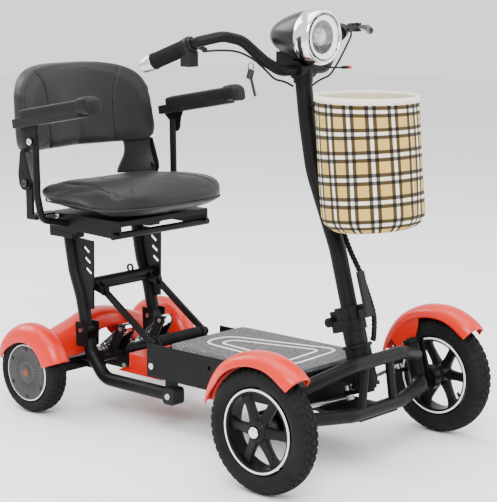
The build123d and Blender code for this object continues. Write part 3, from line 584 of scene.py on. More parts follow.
def spoke_grid(centre, angle, sign, start=0.018, end=0.0775):
    """Squared oval carried outwards; width = narrow + flare at both ends, dished towards the face."""
    out = np.linspace(0, 1, 22)
    v = np.linspace(0, 2 * np.pi, 28, endpoint=False)
    width = 0.0098 + 0.0020 * np.exp(-(out / 0.22) ** 2) + 0.0050 * np.exp(-((1 - out) / 0.16) ** 2)
    deep = 0.0062 + 0.003 * np.exp(-(out / 0.25) ** 2) + 0.002 * np.exp(-((1 - out) / 0.2) ** 2)
    along = start + (end - start) * out
    face = sign * (0.0105 - 0.007 * out ** 1.6)
    t = width[:, None] * rounded(np.cos(v), 0.45)[None]
    y = face[:, None] + deep[:, None] * rounded(np.sin(v), 0.45)[None]
    r = along[:, None] + 0 * t
    c, s = math.cos(angle), math.sin(angle)
    return np.stack([centre[0] + r * c - t * s, centre[1] + y, centre[2] + r * s + t * c], -1)


for side, sign in sides.items():
    centre = np.array((front_x, sign * front_y, front_z))
    body = f"front_{side}_wheel"
    make_piece(f"front_{side}_rim_barrel", turned(barrel_profile(0.0755, 0.0825, 0.0215), centre, "y", 96),
               wheel_black, body, wrap=(True, False), replaces=(f"front_{side}_rim",))
    make_piece(f"front_{side}_spokes", [spoke_grid(centre, math.radians(60 * k), sign) for k in range(6)],
               wheel_black, body, wrap=(False, True), caps=True)
    hub = [(-0.024, 0.0082), (-0.024, 0.019), (-0.021, 0.0215), (-0.008, 0.0225), (0.010, 0.0250),
           (0.0175, 0.0245), (0.021, 0.0215), (0.0235, 0.0200), (0.0240, 0.0185), (0.0240, 0.0082),
           (-0.024, 0.0082)]
    hub = [(sign * y, r) for y, r in hub]
    make_piece(f"front_{side}_hub", turned(hub, centre, "y", 64), wheel_black, body,
               wrap=(True, False))
    ring = [(0.0238, 0.0096), (0.0248, 0.0098), (0.0252, 0.0106), (0.0248, 0.0116), (0.0238, 0.0118),
            (0.0238, 0.0096)]
    make_piece(f"front_{side}_bearing_ring", turned([(sign * y, r) for y, r in ring], centre, "y", 56),
               zinc, body, wrap=(True, False))
    lips = []
    for face in (-1, 1):
        t = np.linspace(0, 2 * np.pi, 15)
        lips.append(turned(np.stack([face * 0.0208 + 0.0017 * np.cos(t), 0.0816 + 0.0022 * np.sin(t)], -1),
                           centre, "y", 96))
    make_piece(f"front_{side}_rim_lip", lips, ring_white, body, wrap=(True, False))
    valve_way = np.array((math.cos(math.radians(-48)), 0, math.sin(math.radians(-48))))
    valve = centre + 0.0765 * valve_way + (0, sign * 0.012, 0)
    stem = [(0, 0), (0, 0.0036), (0.004, 0.0034), (0.009, 0.0028), (0.017, 0.0027), (0.0172, 0.0033),
            (0.023, 0.0032), (0.0238, 0.0026), (0.0238, 0)]
    make_piece(f"front_{side}_valve", turned(stem, valve, -valve_way + (0, sign * 0.35, 0), 20), cable_black,
               body, wrap=(True, False))
print("front rims made")

# %% [markdown]
# ## Hub motors
# Each rear wheel is its own motor: a drum with a ribbed cover.  Low ribs run outwards between two
# raised rings, six screws hold the cover, and a small bronze badge with plain rings closes the middle.

# %% Motor covers
def motor_cover(centre, sign):
    """Turned cover whose face rises by 0.9 mm on 36 ribs between radii 24 and 49 mm."""
    r = np.array([0, 0.010, 0.0185, 0.020, 0.0225, 0.024, 0.028, 0.034, 0.040, 0.046, 0.049, 0.0505,
                  0.0525, 0.056, 0.0590, 0.0612, 0.0618, 0.0618, 0])
    y = np.array([0.0242, 0.0242, 0.0242, 0.0232, 0.0232, 0.0240, 0.0240, 0.0238, 0.0236, 0.0234, 0.0234,
                  0.0242, 0.0244, 0.0243, 0.0240, 0.0230, 0.0200, 0.0170, 0.0170])
    turn = np.linspace(0, 2 * np.pi, 288, endpoint=False)[:, None]
    ribbed = ((r > 0.0245) & (r < 0.0492))[None, :]
    rise = 0.0011 * np.clip(2.2 * np.sin(36 * turn), -1, 1) * ribbed
    yy = sign * (y[None, :] + 0.5 * rise + 0.0005 * ribbed)
    rr = r[None, :] + 0 * turn
    return np.stack([centre[0] + rr * np.cos(turn), centre[1] + yy + 0 * turn,
                     centre[2] + rr * np.sin(turn)], -1)


for side, sign in sides.items():
    centre = np.array((rear_x, sign * rear_y, rear_z))
    body = f"rear_{side}_wheel"
    make_piece(f"rear_{side}_motor_cover", motor_cover(centre, sign), motor_black, body,
               wrap=(True, False))
    badge = [(0.0252, 0.0), (0.0256, 0.003), (0.0250, 0.0042), (0.0256, 0.0054), (0.0254, 0.0080),
             (0.0244, 0.0088), (0.0240, 0.0088), (0.0240, 0.0)]
    badge = [(sign * y, r) for y, r in badge]
    make_piece(f"rear_{side}_badge", turned(badge, centre, "y", 48), emblem_bronze, body,
               wrap=(True, False))
    screws = []
    for k in range(6):
        a = math.radians(60 * k + 30)
        spot = centre + (0.0545 * math.cos(a), 0, 0.0545 * math.sin(a))
        screws.append(turned([(sign * y, r) for y, r in ((0.0240, 0), (0.0240, 0.0038), (0.0258, 0.0038),
                      (0.0266, 0.0030), (0.0266, 0.0018), (0.0256, 0.0016), (0.0256, 0))], spot, "y", 18))
    make_piece(f"rear_{side}_cover_screws", screws, dark_steel, body, wrap=(True, False))
    lips = []
    for face in (-1, 1):
        t = np.linspace(0, 2 * np.pi, 15)
        lips.append(turned(np.stack([face * 0.0215 + 0.0016 * np.cos(t), 0.0630 + 0.0019 * np.sin(t)], -1),
                           centre, "y", 96))
    make_piece(f"rear_{side}_rim_lip", lips, ring_white, body, wrap=(True, False))
print("rear wheels made")

# %% [markdown]
# ## Mudguards
# A mudguard is a thin moulding bent round the tyre: its crown follows the tread at a steady gap and its
# two skirts turn down beside it.  The front ones taper to a narrow tail behind the wheel and flare at
# the front.  The section is half an ellipse, so light runs along the crown in one long highlight.

# %% Mudguard surface
def guard_grid(centre, start, end, crown, half, drop, count=90, across=40):
    """Angle runs start..end; y = half sin(p), r = crown - drop (1 - cos p), p from -92 to 92 degrees.
    half and drop are functions of the share s of the way round."""
    s = np.linspace(0, 1, count)
    angle = np.radians(start + (end - start) * s)[:, None]
    p = np.radians(np.linspace(-92, 92, across))[None, :]
    lip = 0.0016 * np.clip((np.abs(np.degrees(p)) - 80) / 12, 0, 1) ** 2 * np.sign(p)
    y = half(s)[:, None] * rounded(np.sin(p), 0.92) + lip
    r = crown(s)[:, None] - drop(s)[:, None] * (1 - rounded(np.cos(p), 0.80))
    return np.stack([centre[0] + r * np.cos(angle), centre[1] + y + 0 * angle,
                     centre[2] + r * np.sin(angle)], -1)


def ease(s, a, b):
    """Smooth step from 0 at a to 1 at b."""
    t = np.clip((s - a) / (b - a), 0, 1)
    return t * t * (3 - 2 * t)


for side, sign in sides.items():
    centre = np.array((front_x, sign * front_y, front_z))
    make_piece(f"front_{side}_mudguard", guard_grid(
        centre, 168, 49,
        crown=lambda s: 0.1545 + 0.000 * s,
        half=lambda s: 0.0325 * (0.42 + 0.58 * ease(s, 0, 0.40)) * (1 - 0.06 * ease(s, 0.93, 1)),
        drop=lambda s: 0.0235 * (0.45 + 0.55 * ease(s, 0.0, 0.25)) + 0.004 * ease(s, 0.75, 0.97)),
        guard_red, f"{side}_knuckle", thickness=0.0028, outward=centre,
        replaces=(f"front_{side}_fender",))
    inner = sign * (front_y - 0.0315)
    lug = [(0.306, 0.168), (0.330, 0.190), (0.344, 0.206), (0.350, 0.230), (0.352, 0.254), (0.334, 0.250),
           (0.316, 0.240), (0.294, 0.220), (0.278, 0.196)]
    near, far = sorted((inner - sign * 0.0015, inner + sign * 0.0015))
    plate(f"front_{side}_mudguard_lug", lug, near, far, guard_red, f"{side}_knuckle", 0.0008)
    stay_line = smooth_line([(0.334, inner, 0.203), (0.350, inner - sign * 0.010, 0.199),
                             (0.3672, sign * 0.236, 0.196)], 18)
    make_piece(f"front_{side}_mudguard_stay", carried(stay_line, 0.005, 16), powder_black,
               f"{side}_knuckle", wrap=(False, True), caps=True)
    head = [(-0.0012, 0), (-0.0012, 0.0042), (0.0022, 0.0042), (0.0032, 0.0032), (0.0034, 0.0022),
            (0.0018, 0.0019), (0.0018, 0)]
    make_piece(f"front_{side}_lug_screw", turned([(-sign * y, r) for y, r in head],
               (0.334, inner - sign * 0.0016, 0.204), "y", 24), dark_steel, f"{side}_knuckle",
               wrap=(True, False))
    rear_centre = np.array((rear_x, sign * rear_y, rear_z))
    make_piece(f"rear_{side}_mudguard", guard_grid(
        rear_centre, 163, 20,
        crown=lambda s: np.full_like(s, 0.1112),
        half=lambda s: 0.0320 * (0.94 + 0.06 * ease(s, 0, 0.15)),
        drop=lambda s: 0.029 + 0.008 * ease(s, 0.0, 0.3) + 0.003 * ease(s, 0.6, 1.0)),
        guard_red, "swing_arm", thickness=0.0028, outward=rear_centre,
        replaces=(f"rear_{side}_fender",))
print("mudguards made")

# %% [markdown]
# ## The red bridge between the rear mudguards
# One moulding joins the two rear mudguards over the axle.  It is a saddle: a rounded channel that rises
# in the middle, with an arch cut out below for the swing arm's springs.  Each slice across it is half
# of a squared oval, and its top and its lower edge are two smooth curves of the distance to the side.

# %% Bridge surface
y = np.linspace(-0.1765, 0.1765, 120)[:, None]
p = np.radians(np.linspace(-90, 90, 44))[None, :]
shoulder = np.exp(-(np.abs(y) / 0.115) ** 2.2)
top = 0.166 + 0.044 * shoulder
low = 0.118 + 0.050 * np.exp(-(y / 0.065) ** 4)
middle_x = -0.394 + 0.004 * shoulder
half_x = 0.0425 - 0.004 * shoulder
bridge = np.stack([middle_x + half_x * rounded(np.sin(p), 0.75), y + 0 * p,
                   low + (top - low) * rounded(np.cos(p), 0.55)], -1)
make_piece("rear_bridge", bridge, guard_red, "swing_arm", thickness=0.0028,
           outward=(-0.394, 0, 0.12), replaces=("rear_shroud",))
print("bridge made")

# %% [markdown]
# ## Ends of the lower frame tubes
# The lower tubes stop under the deck in a moulded square foot, held by a screw from outside.  The foot
# covers the tube's cut end.

# %% Tube feet
for side, sign in sides.items():
    near, far = sorted((sign * 0.0885, sign * 0.1235))
    plate(f"{side}_tube_foot", [(-0.056, 0.066), (-0.050, 0.061), (-0.026, 0.061), (-0.020, 0.066),
                                (-0.020, 0.094), (-0.026, 0.099), (-0.050, 0.099), (-0.056, 0.094)],
          near, far, moulded_black, "chassis", 0.003)
    head = [(sign * y, r) for y, r in ((0.0, 0.0), (0.0, 0.0070), (0.0024, 0.0070), (0.0040, 0.0056),
            (0.0044, 0.0030), (0.0030, 0.0028), (0.0030, 0.0))]
    make_piece(f"{side}_foot_screw", turned(head, (-0.038, sign * 0.1233, 0.080), "y", 26), zinc, "chassis",
               wrap=(True, False))
print("tube feet made")

# %% [markdown]
# ## The lamp
# The lamp is a bullet: a gloss black cowl that tapers backwards, a chrome rim as deep as a thumb is
# wide, and behind a clear glass a white light ring round a dark bowl with a round projector lens.
# All of them are turned about the same axle, so each is one profile of distance and radius.

# %% Cowl, rim, ring and projector
lamp = np.array((0.291, 0.0, 0.862))
cowl_out = smooth_line([(-0.0330, 0.0545), (-0.046, 0.0526), (-0.066, 0.0478), (-0.090, 0.0400),
                        (-0.114, 0.0290), (-0.130, 0.0165), (-0.1375, 0.0040)], 40)
cowl = np.vstack([[(-0.030, 0.0)], [(-0.030, 0.0545)], cowl_out, [(-0.138, 0.0)]])
make_piece("lamp_cowl", turned(cowl, lamp, "x", 88), gloss_black, "tiller", wrap=(True, False),
           replaces=("headlight_shell",))
rim = [(-0.0345, 0.0500), (-0.0345, 0.0552), (-0.0330, 0.0562), (-0.022, 0.0568), (-0.012, 0.0568),
       (-0.003, 0.0560), (0.0015, 0.0544), (0.0030, 0.0520), (0.0022, 0.0498), (-0.0005, 0.0488),
       (-0.006, 0.0486), (-0.0345, 0.0500)]
make_piece("lamp_chrome_rim", turned(rim, lamp, "x", 110), chrome, "tiller", wrap=(True, False))
bowl = [(-0.0045, 0.0478), (-0.0052, 0.0300), (-0.0090, 0.0260), (-0.0140, 0.0200), (-0.0140, 0.0),
        (-0.0175, 0.0), (-0.0175, 0.0488), (-0.0060, 0.0488), (-0.0045, 0.0478)]
make_piece("lamp_bowl", turned(bowl, lamp, "x", 80), gloss_black, "tiller", wrap=(True, False))
t = np.linspace(0, 2 * np.pi, 19)
ring = np.stack([-0.0038 + 0.0016 * np.sin(t), 0.0412 + 0.0074 * rounded(np.cos(t), 0.7)], -1)
make_piece("lamp_light_ring", turned(ring, lamp, "x", 96), led_white, "tiller",
           wrap=(True, False))
t = np.linspace(0, 2 * np.pi, 15)
trim = np.stack([-0.0040 + 0.0018 * np.sin(t), 0.0318 + 0.0014 * np.cos(t)], -1)
make_piece("lamp_ring_trim", turned(trim, lamp, "x", 80), dark_steel, "tiller",
           wrap=(True, False))
swell = np.linspace(0, np.pi / 2, 16)
lens = np.stack([-0.0125 + 0.0105 * np.sin(swell), 0.0195 * np.cos(swell)], -1)
lens = np.vstack([[(-0.0138, 0.0)], [(-0.0138, 0.0195)], lens[:-1], [(-0.0020, 0.0)]])
# Painted reflection: the lens colour swings between white and near black in small patches, standing in for
# the room mirrored in the glass.
projector_painted_reflection = finish("projector_painted_reflection", (0.80, 0.81, 0.83), (0.10, 0.10, 0.11), 130, (0.05, 0.12),
                         grain="lines", scale=170, depth=0.0004, strength=0.35, Coat_Weight=1.0,
                         Coat_Roughness=0.03, Emission_Color=(0.95, 0.97, 1.0, 1), Emission_Strength=0.08)
make_piece("lamp_projector", turned(lens, lamp, "x", 64), projector_painted_reflection, "tiller",
           wrap=(True, False))
glass = [(0.0002, 0.0), (0.0002, 0.020), (-0.0004, 0.040), (-0.0012, 0.0482), (-0.0022, 0.0482),
         (-0.0016, 0.040), (-0.0010, 0.020), (-0.0010, 0.0)]
make_piece("lamp_glass", turned(glass, lamp, "x", 80), clear_lens, "tiller", wrap=(True, False),
           replaces=("headlight_lens",))
print("lamp made")

# %% [markdown]
# ## Grips
# The grips are soft rubber sleeves with close ribs for the fingers and a bright cap on the bar's end.
# Both are turned about the bar's straight end, so a grip is only a profile with a small wave on it.

# %% Grips and end caps
for side, sign in sides.items():
    bar_end = np.array((0.032, sign * 0.252, 0.805))
    way = np.array((0.121, -sign * 0.030, 0.051))
    way /= np.linalg.norm(way)
    s = np.linspace(0.026, 0.1075, 240)
    wave = 0.0155 + 0.0009 * np.clip(1.6 * np.cos(2 * np.pi * (s - 0.026) / 0.0046), -1, 1)
    wave = np.where((s < 0.0295) | (s > 0.1020), 0.0172, wave)
    sleeve = np.vstack([[(0.026, 0.0113)], np.stack([s, wave], -1), [(0.1075, 0.0113)], [(0.026, 0.0113)]])
    make_piece(f"{side}_grip_sleeve", turned(sleeve, bar_end, way, 40), grip_foam, "tiller",
               wrap=(True, False), replaces=("handlebar_grips",) if side == "right" else ())
    cap = [(-0.0042, 0.0), (-0.0040, 0.0100), (-0.0030, 0.0128), (-0.0010, 0.0138), (0.0120, 0.0156),
           (0.0235, 0.0175), (0.0255, 0.0170), (0.0258, 0.0113), (-0.0005, 0.0113), (-0.0005, 0.0)]
    make_piece(f"{side}_bar_cap", turned(cap, bar_end, way, 40), zinc, "tiller", wrap=(True, False))
print("grips made")

# %% [markdown]
# ## Spiral wrap on the loom
# The motor leads run down the column inside a black spiral wrap.  The wrap is a ribbon wound round the
# loom, so the surface is a tube whose radius steps up along a helix: the step depends on the distance
# along the tube minus the angle round it.

# %% Wrapped loom
route = [(0.314, 0.012, 0.488), (0.323, 0.024, 0.472), (0.347, 0.025, 0.427), (0.370, 0.026, 0.389),
         (0.390, 0.029, 0.343), (0.4035, 0.0315, 0.300), (0.404, 0.031, 0.258), (0.402, 0.030, 0.250)]
line = smooth_line(route, 460)
run = np.concatenate([[0], np.cumsum(np.linalg.norm(np.diff(line, axis=0), axis=1))])
round_angle = np.linspace(0, 2 * np.pi, 20, endpoint=False)
turns = (run[:, None] / 0.0085 - round_angle[None, :] / (2 * np.pi)) % 1
thick = 0.0047 + 0.0011 * np.clip((0.5 - np.abs(turns - 0.5) - 0.10) / 0.06, 0, 1)
make_piece("wrapped_loom", carried(line, thick, 20), cable_black, "tiller",
           wrap=(False, True), caps=True, replaces=("wiring_harness",))
print("loom length", round(float(run[-1]), 3))

# %% [markdown]
# ## Suspension springs
# Each rear shock carries an open coil of round wire between two collars.  The coil is a helix about the
# shock's own axis, thickened square to it, and it rides rigidly with the shock bodies.

# %% Coils
shock_top, shock_foot = np.array((-0.232, 0, 0.193)), np.array((-0.330, 0, 0.116))
shock_way = (shock_foot - shock_top) / np.linalg.norm(shock_foot - shock_top)
shock_out = np.cross(shock_way, (0, 1, 0))
for side, sign in sides.items():
    base = shock_top + (0, sign * 0.062, 0)
    t = np.linspace(0, 1, 300)[:, None]
    v = np.linspace(0, 2 * np.pi, 12, endpoint=False)[None, :]
    turn = 2 * np.pi * 7.5 * t
    radial = np.cos(turn)[..., None] * shock_out + np.sin(turn)[..., None] * np.array((0, 1.0, 0))
    spot = 0.0262 + 0.0702 * t
    coil = (base + (spot + 0.0017 * np.sin(v))[..., None] * shock_way
            + (0.0107 + 0.0017 * np.cos(v))[..., None] * radial)
    piece = make_piece(f"{side}_shock_coil", coil, dark_steel, "shock_bodies", wrap=(False, True),
                       caps=True, replaces=("shock_springs",) if side == "right" else ())
    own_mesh(piece)
print("coils made")

# %% [markdown]
# ## The shopping basket
# The basket is a sewn cloth bucket with a stiff cream-bound rim and a beige lining, and it hangs with a
# slight forward lean.  Its wall is one profile turned about the middle, then given a few soft folds,
# because cloth never stays perfectly round.

# %% Bucket surface
def bucket_grid(drop, radius, folds=1.0, steps=150):
    """Profile (drop below the rim, radius) turned about the basket's leaning middle, with soft folds."""
    turn = np.linspace(0, 2 * np.pi, steps, endpoint=False)[:, None]
    drop, radius = drop[None, :], radius[None, :]
    low = np.clip(drop / 0.26, 0, 1)
    fold = folds * (0.0016 * np.sin(3 * turn + 0.6 + 4 * low) * low
                    + 0.0011 * np.sin(7 * turn + 1.9 - 5 * low) * low ** 2
                    + 0.0007 * np.sin(13 * turn + 9 * low) * low ** 3)
    r = radius * (1 + 0 * turn) + fold * np.clip(radius / 0.09, 0, 1) ** 3
    x, y, z = r * np.cos(turn), r * np.sin(turn), -drop + 0 * turn
    lean = math.radians(-5)
    level = -0.090 * x * np.exp(-(drop / 0.07) ** 2)
    return np.stack([0.402 + x * math.cos(lean) + z * math.sin(lean), y,
                     0.750 - x * math.sin(lean) + z * math.cos(lean) + level], -1)


def bucket_profile(radius, depth, corner, start=0.0):
    """Straight wall, a quarter-round corner, then a flat floor to the middle."""
    wall = np.linspace(start, depth - corner, 30)
    bend = np.linspace(0, np.pi / 2, 14)[1:]
    floor = np.linspace(radius - corner, 0, 12)[1:]
    drop = np.concatenate([wall, depth - corner + corner * np.sin(bend), depth + 0 * floor])
    out = np.concatenate([radius + 0 * wall, radius - corner + corner * np.cos(bend), floor])
    return drop, out


drop, out = bucket_profile(0.1035, 0.2660, 0.036)
arc = np.concatenate([[0], np.cumsum(np.hypot(np.diff(drop), np.diff(out)))])
around = np.linspace(0, 2 * np.pi * 0.1035, 151)
make_piece("basket_cloth", bucket_grid(drop, out), basket_check, "tiller", wrap=(True, False),
           map_uv=(around, arc), thickness=0.0016, outward=(0.41, 0, 0.62), replaces=("basket",))
drop_in, out_in = bucket_profile(0.1008, 0.2622, 0.034)
arc_in = np.concatenate([[0], np.cumsum(np.hypot(np.diff(drop_in), np.diff(out_in)))])
make_piece("basket_lining", bucket_grid(drop_in, out_in, 0.9), basket_lining_cloth, "tiller",
           wrap=(True, False), map_uv=(around, arc_in), thickness=0.0010, outward=(0.41, 0, 0.62))
bound = [(-0.0020, 0.1000), (-0.0030, 0.1022), (-0.0020, 0.1046), (0.0030, 0.1056), (0.0085, 0.1056),
         (0.0096, 0.1046), (0.0096, 0.1030), (0.0060, 0.0998), (0.0010, 0.0994), (-0.0020, 0.1000)]
bound = np.array(bound)
arc_b = np.concatenate([[0], np.cumsum(np.hypot(*np.diff(bound, axis=0).T))])
make_piece("basket_binding", bucket_grid(bound[:, 0], bound[:, 1], 0.0), piping_cream, "tiller",
           wrap=(True, False), map_uv=(around, arc_b))
print("basket made")

# %% [markdown]
# ## Padded pieces
# The seat and the back are foam under leatherette.  A closed starting form, a little smaller than the
# pad, is remeshed evenly and blown up as cloth for a few frames with no gravity, which pulls the sides
# in between the corners the way a sewn cover does.  How far a point may move is capped, the result is
# kept as plain points, and seams are pressed in afterwards so that they stay crisp.

# %% The padding helper
def blown_up(piece, voxel, pressure, cap):
    """Voxel remesh, cloth with pressure for frames 1 to 20, each point moved at most cap metres."""
    bpy.context.view_layer.update()
    remesh = piece.modifiers.new("even", "REMESH")
    remesh.mode, remesh.voxel_size = "VOXEL", voxel
    graph = bpy.context.evaluated_depsgraph_get()
    even = bpy.data.meshes.new_from_object(piece.evaluated_get(graph))
    piece.modifiers.clear()
    piece.data = even
    start = np.empty(len(even.vertices) * 3, np.float32)
    even.vertices.foreach_get("co", start)
    start = start.reshape(-1, 3)
    cloth = piece.modifiers.new("cover", "CLOTH")
    cloth.settings.quality = 5
    cloth.settings.use_pressure = True
    cloth.settings.uniform_pressure_force = pressure
    cloth.settings.tension_stiffness = cloth.settings.compression_stiffness = 60
    cloth.settings.bending_stiffness = 5
    cloth.settings.effector_weights.gravity = 0.0
    cloth.collision_settings.use_collision = False
    cloth.point_cache.frame_start, cloth.point_cache.frame_end = 1, 20
    for step in range(1, 21):
        bpy.context.scene.frame_set(step)
    graph = bpy.context.evaluated_depsgraph_get()
    blown = piece.evaluated_get(graph).data
    moved = np.empty(len(blown.vertices) * 3, np.float32)
    blown.vertices.foreach_get("co", moved)
    way = moved.reshape(-1, 3) - start
    far = np.linalg.norm(way, axis=1, keepdims=True)
    start = start + way * np.minimum(1, cap / np.maximum(far, 1e-9))
    print(piece.name, "moved up to", round(float(far.max()), 4))
    piece.modifiers.clear()
    bpy.context.scene.frame_set(1)
    return start


def keep_points(piece, points, finish_material):
    """Writes the points back, shades smooth and adds one live subdivision."""
    piece.data.vertices.foreach_set("co", points.astype(np.float32).ravel())
    piece.data.polygons.foreach_set("use_smooth", np.ones(len(piece.data.polygons), bool))
    piece.data.materials.clear()
    piece.data.materials.append(finish_material)
    piece.data.update()
    smoother = piece.modifiers.new("smoother", "SUBSURF")
    smoother.levels = smoother.render_levels = 1


def pillow_grid(centre, half, plan_power, side_power, flat_axis):
    """Squared ball: two axes share |cos|^plan_power, the flat axis uses |sin|^side_power."""
    turn = np.linspace(0, 2 * np.pi, 96, endpoint=False)[None, :]
    rise = np.radians(np.linspace(-90, 90, 49))[:, None]
    flat = rounded(np.sin(rise), side_power) + 0 * turn
    one = rounded(np.cos(rise), side_power) * rounded(np.cos(turn), plan_power)
    two = rounded(np.cos(rise), side_power) * rounded(np.sin(turn), plan_power)
    parts = [flat, one, two] if flat_axis == "x" else [one, two, flat]
    return np.stack([centre[k] + half[k] * parts[k] for k in range(3)], -1)


def thread_line(points, mask, first, second, axes, lift=0.0004, radius=0.0011):
    """A sewn thread: its place on the pad is the mean of nearby points, weighted exp(-(d / 4 mm)^2)."""
    a, b, c = axes
    near = points[mask]
    gap = (near[None, :, a] - first[:, None]) ** 2 + (near[None, :, b] - second[:, None]) ** 2
    weight = np.exp(-gap / 0.004 ** 2) + 1e-12
    line = np.zeros((len(first), 3))
    line[:, a], line[:, b] = first, second
    line[:, c] = (weight * near[None, :, c]).sum(1) / weight.sum(1) + lift
    return carried(line, radius, 8, side=(0.1, 1, 0.2))


def press(points, mask, distance, depth, width, way):
    """Moves points along way by depth exp(-(distance / width)^2) where mask is 1."""
    groove = depth * np.exp(-(distance / width) ** 2) * mask
    return points - groove[:, None] * np.asarray(way, float)


# %% [markdown]
# ## The seat
# The seat is a broad pad whose front is one wide arc.  Two sewn lines run from back to front and part
# its middle from two side bolsters.  Two finer lines open towards the front, where the pad is thickest
# and rolls down; at the back the sides are thin and sweep up from the seat pan.

# %% Seat cushion
plan_round = 0.40 + 0.20 * ease(np.cos(np.linspace(0, 2 * np.pi, 96, endpoint=False)), -0.1, 0.35)[None, :]
seat_grid = pillow_grid((-0.262, 0.0, 0.493), (0.150, 0.189, 0.036), plan_round, 0.66, "z")
upper_half = seat_grid[..., 2] > 0.493
dip = np.exp(-((seat_grid[..., 0] + 0.33) / 0.09) ** 2 - (seat_grid[..., 1] / 0.13) ** 2)
seat_grid[..., 2] += (0.007 * ease(seat_grid[..., 0], -0.34, -0.20)
                      - 0.006 * ease(seat_grid[..., 0], -0.16, -0.11) - 0.005 * dip) * upper_half
rear_corners = ease(-seat_grid[..., 0], 0.18, 0.26) * ease(np.abs(seat_grid[..., 1]), 0.09, 0.19)
seat_grid[..., 2] += 0.014 * rear_corners * ~upper_half
seat = make_piece("seat_pad", seat_grid, seat_leather, None, wrap=(False, True))
points = blown_up(seat, 0.0045, 2.0, 0.0022)
points[:, 2] = np.maximum(points[:, 2], 0.4566)
x, y, z = points.T
seam = np.abs(y) - (0.136 + 0.026 * ease(x, -0.32, -0.16))
welt = np.abs(y) - (0.070 + 0.052 * ease(x, -0.23, -0.13))
upper = ease(z, 0.478, 0.492)
points = press(points, upper, seam, 0.0030, 0.0045, (0, 0, 1))
points = press(points, upper * ease(x, -0.31, -0.28), welt, 0.0018, 0.0045, (0, 0, 1))
points = press(points, upper * (seam > 0), seam - 0.020, 0.0020, 0.016, (0, 0, -1))
keep_points(seat, points, seat_leather)
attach(seat, "seat_frame")
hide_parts("seat_cushion")


def edge_line(points, centre, plane, steps=200):
    """The outermost point of a pad in each direction round its edge, smoothed along the way."""
    a, b, c = plane
    near = points[np.abs(points[:, c] - centre[c]) < 0.006]
    turn = np.arctan2(near[:, b] - centre[b], near[:, a] - centre[a])
    reach = np.hypot(near[:, b] - centre[b], near[:, a] - centre[a])
    slot_of = ((turn + np.pi) / (2 * np.pi) * steps).astype(int) % steps
    far = np.zeros(steps)
    np.maximum.at(far, slot_of, reach)
    fill = np.interp(np.arange(steps), np.flatnonzero(far), far[far > 0], period=steps)
    window = np.ones(5) / 5
    fill = np.convolve(np.concatenate([fill[-2:], fill, fill[:2]]), window, "valid")
    angle = (np.arange(steps) + 0.5) / steps * 2 * np.pi - np.pi
    line = np.zeros((steps, 3))
    line[:, a], line[:, b] = centre[a] + fill * np.cos(angle), centre[b] + fill * np.sin(angle)
    line[:, c] = centre[c]
    return line


def closed_carried(line, radius, sides=10, up=(0, 0, 1)):
    """A ring of tube: N is up made square to the line, the line joins its own start."""
    tangent = np.roll(line, -1, 0) - np.roll(line, 1, 0)
    tangent /= np.linalg.norm(tangent, axis=1, keepdims=True)
    normal = np.asarray(up, float) - tangent * (tangent @ np.asarray(up, float))[:, None]
    normal /= np.linalg.norm(normal, axis=1, keepdims=True)
    across = np.cross(tangent, normal)
    v = np.linspace(0, 2 * np.pi, sides, endpoint=False)[None, :, None]
    return line[:, None] + radius * (np.cos(v) * normal[:, None] + np.sin(v) * across[:, None])


run = np.linspace(-0.392, -0.172, 70)
outer_seam = 0.136 + 0.026 * ease(run, -0.32, -0.16)
short_run = np.linspace(-0.300, -0.136, 60)
inner_seam = 0.070 + 0.052 * ease(short_run, -0.23, -0.13)
top_side = points[:, 2] > 0.497
make_piece("seat_seams", [thread_line(points, top_side, r, sign * s, (0, 1, 2)) for sign in (-1, 1)
                          for r, s in ((run, outer_seam), (short_run, inner_seam))],
           thread_black, "seat_frame", wrap=(False, True), caps=True)
seat_edge = edge_line(points, (-0.262, 0.0, 0.482), (0, 1, 2))
make_piece("seat_piping", closed_carried(seat_edge, 0.0020), thread_black, "seat_frame",
           wrap=(True, True))
print("seat made", len(points))

# %% [markdown]
# ## The back
# The back is a wide, low pad with generous upper corners.  It wraps forward a little at both sides, and
# two sewn lines curve down it, which split it into a middle and two side bolsters.

# %% Backrest pad and its side plates
WRAP = 1.45                      # how fast the back curves forward, in 1 / metre
corner_round = 0.22 + 0.40 * ease(np.sin(np.linspace(0, 2 * np.pi, 96, endpoint=False)), -0.2, 0.3)[None, :]
back_grid = pillow_grid((-0.480, 0.0, 0.683), (0.028, 0.2045, 0.098), corner_round, 0.40, "x")
back_grid[..., 1] *= 1 - 0.05 * ease(back_grid[..., 2], 0.62, 0.76)
back_grid[..., 0] += WRAP * back_grid[..., 1] ** 2 - 0.10 * (back_grid[..., 2] - 0.683)
back = make_piece("back_pad", back_grid, seat_leather, None, wrap=(False, True))
points = blown_up(back, 0.0045, 2.0, 0.0022)
points[:, 0] = np.clip(points[:, 0], -0.520, -0.395)
x, y, z = points.T
front = ease(x - WRAP * y ** 2 + 0.10 * (z - 0.683), -0.474, -0.464)
bolster = np.abs(y) - (0.100 + 5.0 * np.maximum(z - 0.69, 0) ** 2)
points = press(points, front, bolster, 0.0034, 0.0026, (1, 0, 0))
keep_points(back, points, seat_leather)
rise = np.linspace(0.598, 0.768, 60)
spread = 0.100 + 5.0 * np.maximum(rise - 0.69, 0) ** 2
threads = [thread_line(points, front > 0.5, rise, sign * spread, (2, 1, 0)) for sign in (-1, 1)]
make_piece("back_seams", threads, thread_black, "backrest", wrap=(False, True), caps=True)
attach(back, "backrest")
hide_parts("backrest")
